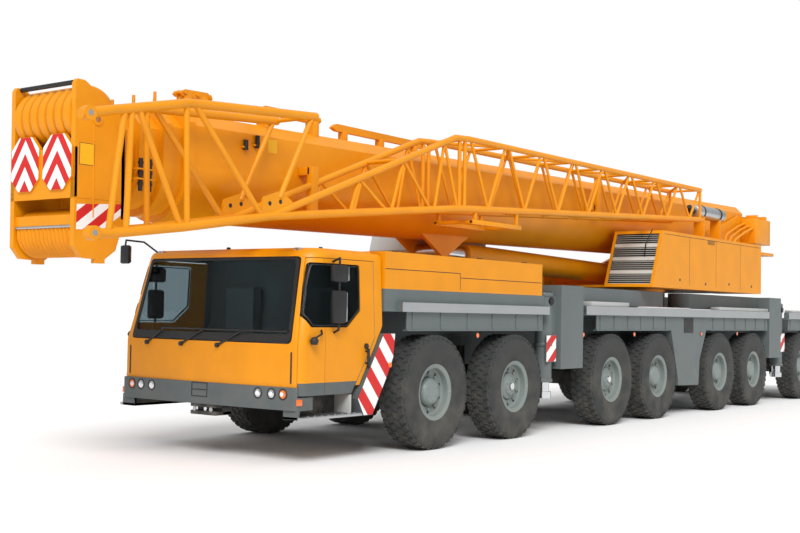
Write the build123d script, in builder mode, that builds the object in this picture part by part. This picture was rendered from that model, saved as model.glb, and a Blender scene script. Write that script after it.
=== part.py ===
"""Eight-axle all-terrain mobile crane with a telescopic boom.

Frame: +X forward, +Y to the driver's left, +Z up, millimetres. The ground is
Z = 0 and the origin is below the middle of the overall length and width.
"""
import os
from math import atan2, cos, degrees, radians, sin, tan

from build123d import *

os.makedirs("parts", exist_ok=True)

# ----------------------------------------------------------------------------
# Driving dimensions
# ----------------------------------------------------------------------------
FRONT_X = 10800          # front tip of the stowed lattice jib
TAIL_X = -10800          # rear face of the tail beam
HALF_WIDTH = 1500        # over the tyres

AXLE_1_X = 5600
AXLE_GAPS = (1820, 2790, 1640, 2570, 1660, 2790, 1680)
STEER_AXLES = (1, 2, 3, 4, 7, 8)

TYRE_OD = 1370
TYRE_WIDTH = 385
TREAD_WIDTH = 345
RIM_FLANGE_R = 349
RIM_BARREL_R = 305
RIM_WALL = 16
SEAT_GAP = 0.4           # between a seated part and what it sits in
HUB_CAP_R = 165
HUB_R = 190
SPINDLE_R = 70
KINGPIN_Y = 1010
KINGPIN_R = 62
KINGPIN_H = 340
YOKE_T = 34

FRAME_HALF_W = 450
FRAME_BOTTOM = 930
FRAME_TOP = 1640
FRAME_FRONT_X = 6480
FRAME_REAR_X = -10560
NOSE_BOTTOM = 590

SEAT_R = 900             # slewing ring seat on the carrier
SEAT_TOP = 2070
RING_T = 50

DECK_TOP = 1780
DECK_FRONT_X = 1835
SKIRT_BOTTOM = 1420
SKIRT_Y = 1440
PLATE_T = 12
LAMP_T = 30

CAB_REAR_X = 6560
CAB_FRONT_X = 7990
CAB_HALF_W = 1400
CAB_NOSE_HALF_W = 1235
CAB_NOSE_LEN = 420
CAB_BOTTOM = 820
NOSE_TOP = CAB_BOTTOM
BELT_Z = 1260
ROOF_Z = 2290
ROOF_HALF_W = 1186
ROOF_FRONT_X = 7690
CAB_WALL = 40
CAB_FLOOR_T = 60

BAND_BOTTOM = FRAME_TOP
COVER_BOTTOM = 1900
COVER_TOP = 2330
COVER_REAR_X = 2980
COVER_HALF_W = 1400

BUMPER_TOP = CAB_BOTTOM
BUMPER_BOTTOM = 578

ARM_PIVOT_DX = 585       # ahead of and behind the slewing axis
ARM_PIVOT_Y = 1000
ARM_BOTTOM = 1800
ARM_TOP = 2060
ARM_W = 400
ARM_PIN_R = 80
PEDESTAL_R = 190
BRACKET_BOTTOM = 1460
BRACKET_TOP = FRAME_TOP
COLUMN_X = (1890, 2540)
COLUMN_Y = (1060, 1460)
JACK_X = 2740
JACK_Y = 1290
JACK_TUBE_R = 120
JACK_RAM_R = 88
JACK_BOTTOM = 480

TURN_BOTTOM = SEAT_TOP + RING_T
CHEEK_Y = 520            # inner face of the superstructure side plates
CHEEK_T = 60

HOUSE_Y = (580, 1450)
HOUSE_X = (-5310, -450)
HOUSE_Z = (2122, 3060)
HOUSE_LEAN = 380

BOOM_SLOPE = 1.0         # nose-down lie of the boom at rest, degrees
BOOM_PIVOT_X = -7000
BOOM_PIVOT_Z = 3403
BOOM_W = 1000
BOOM_H = 1130
BOOM_WALL = 14
BOOM_STEP = 90           # width lost from one section to the next
BOOM_BASE_END = 15810
COLLAR_STEP = 280
PAD_CLEAR = 0.5
FIT = 0.05               # radial running clearance of pins in bores

LUFF_PIN_X = -3200
LUFF_PIN_Z = 2360
LUFF_EYE_X = 3700
LUFF_EYE_Z = 2500
BARREL_R = 172
LUFF_PIN_R = 60
FOOT_PIN_R = 90
EAR_Y = 200              # inner face of the ears at the rod eye
ROD_R = 125
BARREL_FRONT_X = 2930

# ----------------------------------------------------------------------------
# Derived positions
# ----------------------------------------------------------------------------
AXLE_X = [AXLE_1_X]
for gap in AXLE_GAPS:
    AXLE_X.append(AXLE_X[-1] - gap)
WHEEL_R = TYRE_OD / 2
WHEEL_Y = HALF_WIDTH - TYRE_WIDTH / 2
SLEW_X = (AXLE_X[3] + AXLE_X[4]) / 2
SIDES = (("left", 1), ("right", -1))


def box(x0, x1, y0, y1, z0, z1, mode=Mode.ADD):
    """Add a box given by its limits to the part being built."""
    with Locations(((x0 + x1) / 2, (y0 + y1) / 2, (z0 + z1) / 2)):
        Box(abs(x1 - x0), abs(y1 - y0), abs(z1 - z0), mode=mode)


def prism_xz(points, y0, y1, mode=Mode.ADD):
    """Extrude a side-view outline of (x, z) points between two y planes."""
    lo, hi = min(y0, y1), max(y0, y1)
    with BuildSketch(Plane(origin=(0, lo, 0), x_dir=(1, 0, 0), z_dir=(0, -1, 0))) as outline:
        with BuildLine():
            Polyline(*points, close=True)
        make_face()
    extrude(outline.sketch, amount=-(hi - lo), mode=mode)


def prism_xy(points, z0, z1, mode=Mode.ADD):
    """Extrude a plan outline of (x, y) points between two heights."""
    with BuildSketch(Plane.XY.offset(z0)) as outline:
        with BuildLine():
            Polyline(*points, close=True)
        make_face()
    extrude(outline.sketch, amount=z1 - z0, mode=mode)


def cyl_y(x, z, r, y0, y1, mode=Mode.ADD):
    """Add a cylinder that lies across the vehicle."""
    with Locations(Location((x, (y0 + y1) / 2, z), (90, 0, 0))):
        Cylinder(r, abs(y1 - y0), mode=mode)


def cyl_z(x, y, r, z0, z1, mode=Mode.ADD):
    """Add an upright cylinder."""
    with Locations((x, y, (z0 + z1) / 2)):
        Cylinder(r, z1 - z0, mode=mode)


def cyl_x(y, z, r, x0, x1, mode=Mode.ADD):
    """Add a cylinder that lies along the vehicle."""
    with Locations(Location(((x0 + x1) / 2, y, z), (0, 90, 0))):
        Cylinder(r, abs(x1 - x0), mode=mode)


def tube_between(p, q, r, mode=Mode.ADD):
    """Add a round bar from point p to point q."""
    a, b = Vector(*p), Vector(*q)
    d = b - a
    with BuildSketch(Plane(origin=a, z_dir=d.normalized())) as disc:
        Circle(r)
    extrude(disc.sketch, amount=d.length, mode=mode)


def pivot_bracket(px, side, mode=Mode.ADD):
    """Side bracket of the frame below one outrigger arm's pivot."""
    box(px - 230, px + 230, side * (FRAME_HALF_W - 20), side * (ARM_PIVOT_Y + 200), BRACKET_BOTTOM, BRACKET_TOP,
        mode=mode)


# ----------------------------------------------------------------------------
# Carrier
# ----------------------------------------------------------------------------
with BuildPart() as carrier_frame:
    box(FRAME_REAR_X, FRAME_FRONT_X, -FRAME_HALF_W, FRAME_HALF_W, FRAME_BOTTOM, FRAME_TOP)
    box(FRAME_FRONT_X - 300, CAB_FRONT_X - 260, -FRAME_HALF_W, FRAME_HALF_W, NOSE_BOTTOM, NOSE_TOP)
    box(FRAME_FRONT_X - 300, FRAME_FRONT_X, -FRAME_HALF_W, FRAME_HALF_W, NOSE_BOTTOM, FRAME_BOTTOM)
    cyl_z(SLEW_X, 0, SEAT_R, FRAME_TOP, SEAT_TOP)
    for end in (1, -1):
        px = SLEW_X + end * ARM_PIVOT_DX
        for name, side in SIDES:
            pivot_bracket(px, side)
            cyl_z(px, side * ARM_PIVOT_Y, PEDESTAL_R, BRACKET_TOP, ARM_BOTTOM)
            cyl_z(px, side * ARM_PIVOT_Y, ARM_PIN_R, ARM_BOTTOM, ARM_TOP)
    for x in AXLE_X:
        for name, side in SIDES:
            box(x - 110, x + 110, side * (FRAME_HALF_W - 20), side * 690, 1200, 1330)
    box(TAIL_X + LAMP_T, FRAME_REAR_X, -1250, 1250, 1150, 1400)
carrier_frame.part.label = "carrier_frame"
export_step(carrier_frame.part, "parts/carrier_frame.step")

with BuildPart() as axles:
    for i, x in enumerate(AXLE_X, start=1):
        box(x - 105, x + 105, -900, 900, WHEEL_R - 100, WHEEL_R + 100)
        cyl_y(x, WHEEL_R, 225, -190, 190)
        for name, side in SIDES:
            cyl_z(x, side * 600, 58, WHEEL_R + 100, 1200)
            if i in STEER_AXLES:
                half = KINGPIN_H / 2
                for z0 in (WHEEL_R - half - YOKE_T, WHEEL_R + half):
                    box(x - 70, x + 70, side * 800, side * KINGPIN_Y, z0, z0 + YOKE_T)
                    cyl_z(x, side * KINGPIN_Y, 75, z0, z0 + YOKE_T)
                box(x - 70, x + 70, side * 800, side * 880, WHEEL_R - half, WHEEL_R + half)
            else:
                cyl_y(x, WHEEL_R, HUB_R - 20, side * 900, side * (WHEEL_Y - 132))
                cyl_y(x, WHEEL_R, SPINDLE_R, side * (WHEEL_Y - 132), side * (WHEEL_Y + 20))
axles.part.label = "axles"
export_step(axles.part, "parts/axles.step")

KNUCKLE_FACE_Y = WHEEL_Y - 132
for i, x in enumerate(AXLE_X, start=1):
    if i not in STEER_AXLES:
        continue
    for name, side in SIDES:
        with BuildPart() as knuckle:
            cyl_z(x, side * KINGPIN_Y, KINGPIN_R, WHEEL_R - KINGPIN_H / 2 + 0.4, WHEEL_R + KINGPIN_H / 2 - 0.4)
            cyl_y(x, WHEEL_R, 120, side * KINGPIN_Y, side * (KNUCKLE_FACE_Y - 60))
            cyl_y(x, WHEEL_R, HUB_R - 20, side * (KNUCKLE_FACE_Y - 70), side * KNUCKLE_FACE_Y)
            cyl_y(x, WHEEL_R, SPINDLE_R, side * KNUCKLE_FACE_Y, side * (WHEEL_Y + 20))
        knuckle.part.label = f"knuckle_{i}_{name}"
        export_step(knuckle.part, f"parts/knuckle_{i}_{name}.step")

for i, x in enumerate(AXLE_X, start=1):
    for name, side in SIDES:
        with BuildPart() as wheel:
            hw, tw = TYRE_WIDTH / 2, TREAD_WIDTH / 2
            # tyre
            with BuildSketch(Plane(origin=(x, side * WHEEL_Y, WHEEL_R), x_dir=(0, side, 0), z_dir=(1, 0, 0))):
                with BuildLine():
                    Polyline((-tw + 30, RIM_BARREL_R), (-hw + 18, RIM_FLANGE_R + 8), (-hw, 470), (-hw, 560),
                             (-tw, WHEEL_R - 18), (-tw + 18, WHEEL_R), (tw - 18, WHEEL_R), (tw, WHEEL_R - 18),
                             (hw, 560), (hw, 470), (hw - 18, RIM_FLANGE_R + 8), (tw - 30, RIM_BARREL_R), close=True)
                make_face()
            revolve(axis=Axis((x, 0, WHEEL_R), (0, 1, 0)))
            # rim
            with BuildSketch(Plane(origin=(x, side * WHEEL_Y, WHEEL_R), x_dir=(0, side, 0), z_dir=(1, 0, 0))):
                with BuildLine():
                    Polyline((-tw + 30, RIM_BARREL_R - SEAT_GAP), (tw - 30, RIM_BARREL_R - SEAT_GAP),
                             (tw - 30, RIM_BARREL_R - RIM_WALL),
                             (60, RIM_BARREL_R - RIM_WALL), (40, HUB_R), (40, HUB_CAP_R), (110, HUB_CAP_R - 15),
                             (125, HUB_CAP_R - 40), (125, 0), (20 + 2, 0), (22, SPINDLE_R + 2), (-131.5, SPINDLE_R + 2),
                             (-131.5, HUB_R - 25), (10, HUB_R), (10, RIM_BARREL_R - RIM_WALL),
                             (-tw + 30, RIM_BARREL_R - RIM_WALL), close=True)
                make_face()
            revolve(axis=Axis((x, 0, WHEEL_R), (0, 1, 0)))
        wheel.part.label = f"wheel_{i}_{name}"
        export_step(wheel.part, f"parts/wheel_{i}_{name}.step")

SKIRTS = ((3020, 6160), (-1280, 1440), (-5700, -2700), (-10300, -6900))
with BuildPart() as deck:
    # grey body band under the engine cover
    box(COVER_REAR_X - 50, CAB_REAR_X - 20, -CAB_HALF_W, CAB_HALF_W, BAND_BOTTOM, COVER_BOTTOM)
    for name, side in SIDES:
        box(COVER_REAR_X - 50, 6300, side * (CAB_HALF_W - 10), side * SKIRT_Y, BAND_BOTTOM, BAND_BOTTOM + 115)
        for x0, x1 in SKIRTS:
            box(x0, x1, side * (SKIRT_Y - PLATE_T), side * SKIRT_Y, SKIRT_BOTTOM, BAND_BOTTOM + 10)
        for x0, x1 in ((-5700, DECK_FRONT_X), (-10560, -6820)):
            box(x0, x1, 0, side * SKIRT_Y, FRAME_TOP, FRAME_TOP + 30)
            box(x0, x1, side * (SKIRT_Y - 60), side * SKIRT_Y, FRAME_TOP + 30, DECK_TOP)
        prism_xz([(-1110, 1640), (-1200, 1430), (-1500, 590), (-1510, 500), (-2350, 480), (-2390, 910),
                  (-2680, 1430), (-2860, 1640)], side * 900, side * SKIRT_Y)
        for end in (1, -1):
            px = SLEW_X + end * ARM_PIVOT_DX
            pivot_bracket(px, side, mode=Mode.SUBTRACT)
            cyl_z(px, side * ARM_PIVOT_Y, PEDESTAL_R, BRACKET_TOP, ARM_BOTTOM, mode=Mode.SUBTRACT)
    cyl_z(SLEW_X, 0, SEAT_R, FRAME_TOP, SEAT_TOP, mode=Mode.SUBTRACT)
deck.part.label = "deck"
export_step(deck.part, "parts/deck.step")

RAILS = ((2910, 6300, 1640, 1750), (-5690, DECK_FRONT_X, 1650, 1780), (-10560, -6820, 1650, 1780))
with BuildPart() as side_rails:
    for name, side in SIDES:
        for x0, x1, z0, z1 in RAILS:
            box(x0, x1, side * SKIRT_Y, side * (SKIRT_Y + 45), z0, z1)
side_rails.part.label = "side_rails"
export_step(side_rails.part, "parts/side_rails.step")

with BuildPart() as engine_cover:
    box(COVER_REAR_X, CAB_REAR_X - 20, -COVER_HALF_W, COVER_HALF_W, COVER_BOTTOM, COVER_TOP)
engine_cover.part.label = "engine_cover"
export_step(engine_cover.part, "parts/engine_cover.step")

with BuildPart() as bumper:
    prism_xy([(7730, -1384), (7900, -1384), (8010, -1200), (8010, 1200), (7900, 1384), (7730, 1384)],
             BUMPER_BOTTOM, BUMPER_TOP)
    for name, side in SIDES:
        box(CAB_REAR_X - 100, 7730, side * 1340, side * 1384, BUMPER_BOTTOM + 20, BUMPER_TOP)
bumper.part.label = "bumper"
export_step(bumper.part, "parts/bumper.step")


def cab_body(off, z_lo, z_hi, mode=Mode.ADD):
    """Cab envelope moved in by off, from z_lo up to z_hi."""
    hw, nw = CAB_HALF_W - off, CAB_NOSE_HALF_W - off * 0.8
    x0, x1 = CAB_REAR_X + off, CAB_FRONT_X - off
    xn = CAB_FRONT_X - CAB_NOSE_LEN
    low = [(x0, -hw), (xn, -hw), (x1, -nw), (x1, nw), (xn, hw), (x0, hw)]
    rh, rx = ROOF_HALF_W - off, ROOF_FRONT_X - off
    top = [(x0, -rh), (rx - CAB_NOSE_LEN, -rh), (rx, -rh + 120), (rx, rh - 120), (rx - CAB_NOSE_LEN, rh), (x0, rh)]
    prism_xy(low, z_lo, BELT_Z, mode=mode)
    with BuildSketch(Plane.XY.offset(BELT_Z)) as belt:
        with BuildLine():
            Polyline(*low, close=True)
        make_face()
    with BuildSketch(Plane.XY.offset(z_hi)) as roof:
        with BuildLine():
            Polyline(*top, close=True)
        make_face()
    loft([belt.sketch, roof.sketch], ruled=True, mode=mode)


DOOR_OUTLINE = [(6680, 930), (7560, 930), (7560, 1300), (7420, 2190), (6700, 2190), (6680, 2150)]
WINDOW_OUTLINE = [(6790, 1380), (7450, 1340), (7350, 2110), (6790, 2110)]
SCREEN = ((1120, 1330), (1020, 2190))
DOOR_GAP = 7
HINGE_X, HINGE_R = 7560, 10
HINGE_Y = CAB_HALF_W + HINGE_R + SEAT_GAP


def shrink(points, d):
    """Move an outline towards its centre by d on each axis."""
    cx = (min(p[0] for p in points) + max(p[0] for p in points)) / 2
    cz = (min(p[1] for p in points) + max(p[1] for p in points)) / 2
    return [(x - d * (1 if x > cx else -1), z - d * (1 if z > cz else -1)) for x, z in points]


with BuildPart() as cab_shell:
    cab_body(0, CAB_BOTTOM, ROOF_Z)
    cab_body(CAB_WALL, CAB_BOTTOM + CAB_FLOOR_T, ROOF_Z - CAB_WALL, mode=Mode.SUBTRACT)
    for name, side in SIDES:
        prism_xz(DOOR_OUTLINE, side * 900, side * 1600, mode=Mode.SUBTRACT)
    with BuildSketch(Plane(origin=(7400, 0, 0), x_dir=(0, 1, 0), z_dir=(1, 0, 0))):
        with BuildLine():
            Polyline((-SCREEN[0][0], SCREEN[0][1]), (SCREEN[0][0], SCREEN[0][1]), (SCREEN[1][0], SCREEN[1][1]),
                     (-SCREEN[1][0], SCREEN[1][1]), close=True)
        make_face()
    extrude(amount=800, mode=Mode.SUBTRACT)
cab_shell.part.label = "cab_shell"
export_step(cab_shell.part, "parts/cab_shell.step")

with BuildPart() as cab_glass:
    cab_body(12, CAB_BOTTOM + 12, ROOF_Z - 12)
    cab_body(20, CAB_BOTTOM, ROOF_Z - 20, mode=Mode.SUBTRACT)
    with BuildSketch(Plane(origin=(7400, 0, 0), x_dir=(0, 1, 0), z_dir=(1, 0, 0))):
        with BuildLine():
            Polyline((-SCREEN[0][0], SCREEN[0][1]), (SCREEN[0][0], SCREEN[0][1]), (SCREEN[1][0], SCREEN[1][1]),
                     (-SCREEN[1][0], SCREEN[1][1]), close=True)
        make_face()
    extrude(amount=800, mode=Mode.INTERSECT)
cab_glass.part.label = "cab_glass"
export_step(cab_glass.part, "parts/cab_glass.step")

for name, side in SIDES:
    with BuildPart() as door:
        cab_body(0, CAB_BOTTOM, ROOF_Z)
        cab_body(CAB_WALL, CAB_BOTTOM - 10, ROOF_Z - CAB_WALL, mode=Mode.SUBTRACT)
        prism_xz(shrink(DOOR_OUTLINE, DOOR_GAP), side * 900, side * 1600, mode=Mode.INTERSECT)
        prism_xz(WINDOW_OUTLINE, side * 900, side * 1600, mode=Mode.SUBTRACT)
        # hinge straps lie on the outer face, with their barrels on the hinge line
        for z in (1010, 1200):
            box(HINGE_X - 80, HINGE_X, side * CAB_HALF_W, side * (CAB_HALF_W + 9), z - 35, z + 35)
            cyl_z(HINGE_X, side * HINGE_Y, HINGE_R, z - 35, z + 35)
        pane = shrink(WINDOW_OUTLINE, SEAT_GAP)
    with BuildPart() as door_pane:
        cab_body(14, CAB_BOTTOM, ROOF_Z)
        cab_body(20, CAB_BOTTOM - 10, ROOF_Z - 20, mode=Mode.SUBTRACT)
        prism_xz(pane, side * 900, side * 1600, mode=Mode.INTERSECT)
    with BuildPart() as door_all:
        add(door.part)
        add(door_pane.part)
    door = door_all
    door.part.label = f"door_{name}"
    export_step(door.part, f"parts/door_{name}.step")

with BuildPart() as cab_interior:
    floor = CAB_BOTTOM + CAB_FLOOR_T
    box(7350, 7700, -1150, 1150, floor, 1250)
    for y in (650, -650):
        box(6780, 7180, y - 230, y + 230, floor, 1250)
        box(6660, 6790, y - 230, y + 230, 1200, 1900)
cab_interior.part.label = "cab_interior"
export_step(cab_interior.part, "parts/cab_interior.step")

with BuildPart() as lamps:
    for name, side in SIDES:
        for y in (880, 1010, 1130):
            cyl_x(side * y, 700, 48, 8010, 8025)
        box(TAIL_X, TAIL_X + LAMP_T, side * 950, side * 1200, 1215, 1335)
lamps.part.label = "lamps"
export_step(lamps.part, "parts/lamps.step")

with BuildPart() as mirrors:
    for name, side in SIDES:
        tube_between((7560, side * 1230, 1720), (7700, side * 1430, 1720), 14)
        box(7680, 7720, side * 1370, side * 1490, 1500, 1950)
    cab_body(-SEAT_GAP, CAB_BOTTOM, ROOF_Z, mode=Mode.SUBTRACT)
mirrors.part.label = "mirrors"
export_step(mirrors.part, "parts/mirrors.step")

# ----------------------------------------------------------------------------
# Outriggers
# ----------------------------------------------------------------------------
for end_name, end in (("front", 1), ("rear", -1)):
    px = SLEW_X + end * ARM_PIVOT_DX

    def mx(x):
        """Place a front-arm station on the front or on the rear arm."""
        return SLEW_X + end * (x - SLEW_X)

    for name, side in SIDES:
        with BuildPart() as arm:
            y0, y1 = side * (ARM_PIVOT_Y - ARM_W / 2), side * (ARM_PIVOT_Y + ARM_W / 2)
            box(px, mx(COLUMN_X[1]), y0, y1, ARM_BOTTOM + SEAT_GAP, ARM_TOP)
            cyl_z(px, side * ARM_PIVOT_Y, ARM_W / 2, ARM_BOTTOM + SEAT_GAP, ARM_TOP)
            cyl_z(px, side * ARM_PIVOT_Y, ARM_PIN_R + FIT, ARM_BOTTOM, ARM_TOP, mode=Mode.SUBTRACT)
            box(mx(COLUMN_X[0]), mx(COLUMN_X[1]), side * COLUMN_Y[0], side * COLUMN_Y[1], 880, ARM_TOP)
            box(mx(COLUMN_X[1]), mx(JACK_X), side * (JACK_Y - 90), side * (JACK_Y + 90), 1000, 1900)
            cyl_z(mx(JACK_X), side * JACK_Y, JACK_TUBE_R, 700, 1950)
            cyl_z(mx(JACK_X), side * JACK_Y, JACK_RAM_R + FIT, 600, 1900, mode=Mode.SUBTRACT)
            box(mx(2600), mx(2880), side * (JACK_Y + JACK_TUBE_R - 2), side * (JACK_Y + JACK_TUBE_R + 10), 980, 1360)
        arm.part.label = f"outrigger_arm_{end_name}_{name}"
        export_step(arm.part, f"parts/outrigger_arm_{end_name}_{name}.step")
        with BuildPart() as jack:
            cyl_z(mx(JACK_X), side * JACK_Y, JACK_RAM_R, JACK_BOTTOM + 60, 1880)
            cyl_z(mx(JACK_X), side * JACK_Y, 115, JACK_BOTTOM, JACK_BOTTOM + 90)
        jack.part.label = f"outrigger_jack_{end_name}_{name}"
        export_step(jack.part, f"parts/outrigger_jack_{end_name}_{name}.step")

# ----------------------------------------------------------------------------
# Superstructure
# ----------------------------------------------------------------------------
with BuildPart() as turntable:
    cyl_z(SLEW_X, 0, SEAT_R, SEAT_TOP + SEAT_GAP, TURN_BOTTOM)
    box(-4900, -700, -CHEEK_Y - CHEEK_T, CHEEK_Y + CHEEK_T, TURN_BOTTOM, TURN_BOTTOM + 40)
    for name, side in SIDES:
        prism_xz([(-700, TURN_BOTTOM), (-700, 2350), (-2500, 2600), (-6400, 3750), (-7200, 3750), (-7350, 3300),
                  (-6400, 2500), (-4900, TURN_BOTTOM)], side * CHEEK_Y, side * (CHEEK_Y + CHEEK_T))
        box(LUFF_PIN_X - 110, LUFF_PIN_X + 110, side * 120, side * 170, TURN_BOTTOM + 30, LUFF_PIN_Z)
        cyl_y(LUFF_PIN_X, LUFF_PIN_Z, 110, side * 120, side * 170)
    # console that carries the operator's cab
    box(-1900, -500, -1100, -CHEEK_Y - CHEEK_T, TURN_BOTTOM, 2400)
    box(-520, 3000, -1100, -700, 2345, 2400)
    cyl_y(LUFF_PIN_X, LUFF_PIN_Z, LUFF_PIN_R, -170, 170)
    cyl_y(BOOM_PIVOT_X, BOOM_PIVOT_Z, FOOT_PIN_R, -CHEEK_Y - 10, CHEEK_Y + 10)
turntable.part.label = "turntable"
export_step(turntable.part, "parts/turntable.step")

with BuildPart() as engine_house:
    prism_xz([(HOUSE_X[0], HOUSE_Z[0]), (HOUSE_X[1], HOUSE_Z[0]), (HOUSE_X[1] - HOUSE_LEAN, HOUSE_Z[1]),
              (HOUSE_X[0], HOUSE_Z[1])], HOUSE_Y[0], HOUSE_Y[1])
engine_house.part.label = "engine_house"
export_step(engine_house.part, "parts/engine_house.step")

with BuildPart() as operator_cab:
    prism_xz([(1300, 2400), (3060, 2400), (3200, 2560), (2900, 3700), (1300, 3700)], -1480, -620)
    prism_xz([(1350, 2460), (3030, 2460), (3140, 2570), (2860, 3650), (1350, 3650)], -1440, -660, mode=Mode.SUBTRACT)
operator_cab.part.label = "operator_cab"
export_step(operator_cab.part, "parts/operator_cab.step")

WINCH_X, WINCH_Z = -5600, 2480
with BuildPart() as winch:
    cyl_y(WINCH_X, WINCH_Z, 200, -470, 470)
    for y in (-470, 440):
        cyl_y(WINCH_X, WINCH_Z, 280, y, y + 30)
    cyl_y(WINCH_X, WINCH_Z, 70, -CHEEK_Y + SEAT_GAP, CHEEK_Y - SEAT_GAP)
winch.part.label = "winch"
export_step(winch.part, "parts/winch.step")

# ----------------------------------------------------------------------------
# Boom, built along its own axis
# ----------------------------------------------------------------------------
SL = radians(BOOM_SLOPE)
BOOM = Location(Plane(origin=(BOOM_PIVOT_X, 0, BOOM_PIVOT_Z), x_dir=(cos(SL), 0, -sin(SL)),
                      z_dir=(sin(SL), 0, cos(SL))))


def boom_point(s, y, h):
    """World point s along the boom, y across it and h above its axis."""
    return (BOOM_PIVOT_X + s * cos(SL) + h * sin(SL), y, BOOM_PIVOT_Z - s * sin(SL) + h * cos(SL))


def boom_box(s0, s1, y0, y1, h0, h1, mode=Mode.ADD):
    """Add a box that lies square to the boom."""
    with Locations(BOOM * Location(((s0 + s1) / 2, (y0 + y1) / 2, (h0 + h1) / 2))):
        Box(abs(s1 - s0), abs(y1 - y0), abs(h1 - h0), mode=mode)


def boom_section(w, h, s0, s1, mode=Mode.ADD):
    """Extrude one boom outline: chamfered shoulders above, a round belly below."""
    rt = 140
    with BuildSketch(Plane(origin=boom_point(s0, 0, 0), x_dir=(0, 1, 0), z_dir=(cos(SL), 0, -sin(SL)))) as outline:
        with BuildLine():
            Polyline((-w / 2, 0), (-w / 2, h / 2 - rt), (-w / 2 + rt, h / 2), (w / 2 - rt, h / 2),
                     (w / 2, h / 2 - rt), (w / 2, 0))
            ThreePointArc((w / 2, 0), (0, -h / 2), (-w / 2, 0))
        make_face()
    extrude(outline.sketch, amount=s1 - s0, mode=mode)


def boom_cyl_y(s, h, r, y0, y1, mode=Mode.ADD):
    """Add a cylinder across the boom."""
    with Locations(BOOM * Location((s, (y0 + y1) / 2, h), (90, 0, 0))):
        Cylinder(r, abs(y1 - y0), mode=mode)


SECTIONS = []
for n in range(4):
    SECTIONS.append(dict(w=BOOM_W - n * BOOM_STEP, h=BOOM_H - n * BOOM_STEP, end=BOOM_BASE_END + n * COLLAR_STEP,
                         start=450 + 250 * n))

with BuildPart() as boom_base:
    sec = SECTIONS[0]
    boom_section(sec["w"], sec["h"], 200, sec["end"])
    boom_section(sec["w"] + 50, sec["h"] + 50, sec["end"] - 120, sec["end"])
    # bracket for the luffing cylinder
    for side in (1, -1):
        prism_xz([(LUFF_EYE_X - 700, 2790), (LUFF_EYE_X + 700, 2790), (LUFF_EYE_X + 100, LUFF_EYE_Z - 50),
                  (LUFF_EYE_X, LUFF_EYE_Z - 105), (LUFF_EYE_X - 100, LUFF_EYE_Z - 50)], side * EAR_Y,
                 side * (EAR_Y + 55))
    boom_section(sec["w"] - 2 * BOOM_WALL, sec["h"] - 2 * BOOM_WALL, 190, sec["end"] - 120, mode=Mode.SUBTRACT)
    # the front collar carries the slide pads
    nxt = SECTIONS[1]
    boom_section(nxt["w"] + 2 * PAD_CLEAR, nxt["h"] + 2 * PAD_CLEAR, sec["end"] - 130, sec["end"] + 10,
                 mode=Mode.SUBTRACT)
    # foot
    for name, side in SIDES:
        boom_box(-150, 650, side * 440, side * (BOOM_W / 2), -330, 330)
        boom_cyl_y(0, 0, 240, side * 440, side * (BOOM_W / 2))
    boom_cyl_y(0, 0, FOOT_PIN_R + FIT, -600, 600, mode=Mode.SUBTRACT)
boom_base.part.label = "boom_base"
export_step(boom_base.part, "parts/boom_base.step")

for n in (1, 2, 3):
    sec = SECTIONS[n]
    with BuildPart() as section:
        boom_section(sec["w"], sec["h"], sec["start"], sec["end"])
        boom_section(sec["w"] - 2 * BOOM_WALL, sec["h"] - 2 * BOOM_WALL, sec["start"] - 10,
                     sec["end"] - (120 if n < 3 else -10), mode=Mode.SUBTRACT)
        if n < 3:
            boom_section(sec["w"] + 50, sec["h"] + 50, sec["end"] - 120, sec["end"])
            nxt = SECTIONS[n + 1]
            boom_section(nxt["w"] + 2 * PAD_CLEAR, nxt["h"] + 2 * PAD_CLEAR, sec["end"] - 130, sec["end"] + 10,
                         mode=Mode.SUBTRACT)
        else:
            end = sec["end"]
            boom_box(end - 40, end, -500, 500, -560, 500)
            for name, side in SIDES:
                boom_box(end - 40, end + 560, side * 440, side * 500, -950, 560)
            for k in range(5):
                boom_cyl_y(end + 300, 330, 270, -400 + 160 * k, -320 + 160 * k)
            boom_cyl_y(end + 300, 330, 60, -450, 450)
            boom_cyl_y(end + 300, -760, 60, -450, 450)
            boom_cyl_y(end + 300, -760, 240, -380, 380)
    section.part.label = f"boom_section_{n}"
    export_step(section.part, f"parts/boom_section_{n}.step")

# lattice jib stowed on the left side of the boom
JIB_Y = (680, 1250)
JIB_R = 48
JIB_TOP = [(FRONT_X + 12, 3430), (7550, 3740), (4820, 3830), (-2820, 3920)]
JIB_LOW = [(10140, 2270), (8100, 2600), (5240, 2850), (-2960, 3390)]
with BuildPart() as lattice_jib:
    for y in JIB_Y:
        for pts in (JIB_TOP, JIB_LOW):
            for a, b in zip(pts[:-1], pts[1:]):
                tube_between((a[0], y, a[1]), (b[0], y, b[1]), JIB_R)
            for a in pts[1:-1]:
                with Locations((a[0], y, a[1])):
                    Sphere(JIB_R)
        for a, b in zip(JIB_TOP, JIB_LOW):
            tube_between((a[0] - 30, y, a[1]), (b[0] + 30, y, b[1]), 32)
    for pts in (JIB_TOP, JIB_LOW):
        for a in pts:
            tube_between((a[0] - 32, JIB_Y[0], a[1]), (a[0] - 32, JIB_Y[1], a[1]), 32)
    # carriers to the boom side
    for x in (7000, 0):
        box(x - 60, x + 60, BOOM_W / 2, JIB_Y[0], 3330, 3430)
        box(x - 60, x + 60, JIB_Y[0] - 40, JIB_Y[0] + 40, 2900, 3850)
    box(FRONT_X, FRONT_X + 300, JIB_Y[0] - 100, JIB_Y[1] + 100, 3200, 3700, mode=Mode.SUBTRACT)
lattice_jib.part.label = "lattice_jib"
export_step(lattice_jib.part, "parts/lattice_jib.step")

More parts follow.
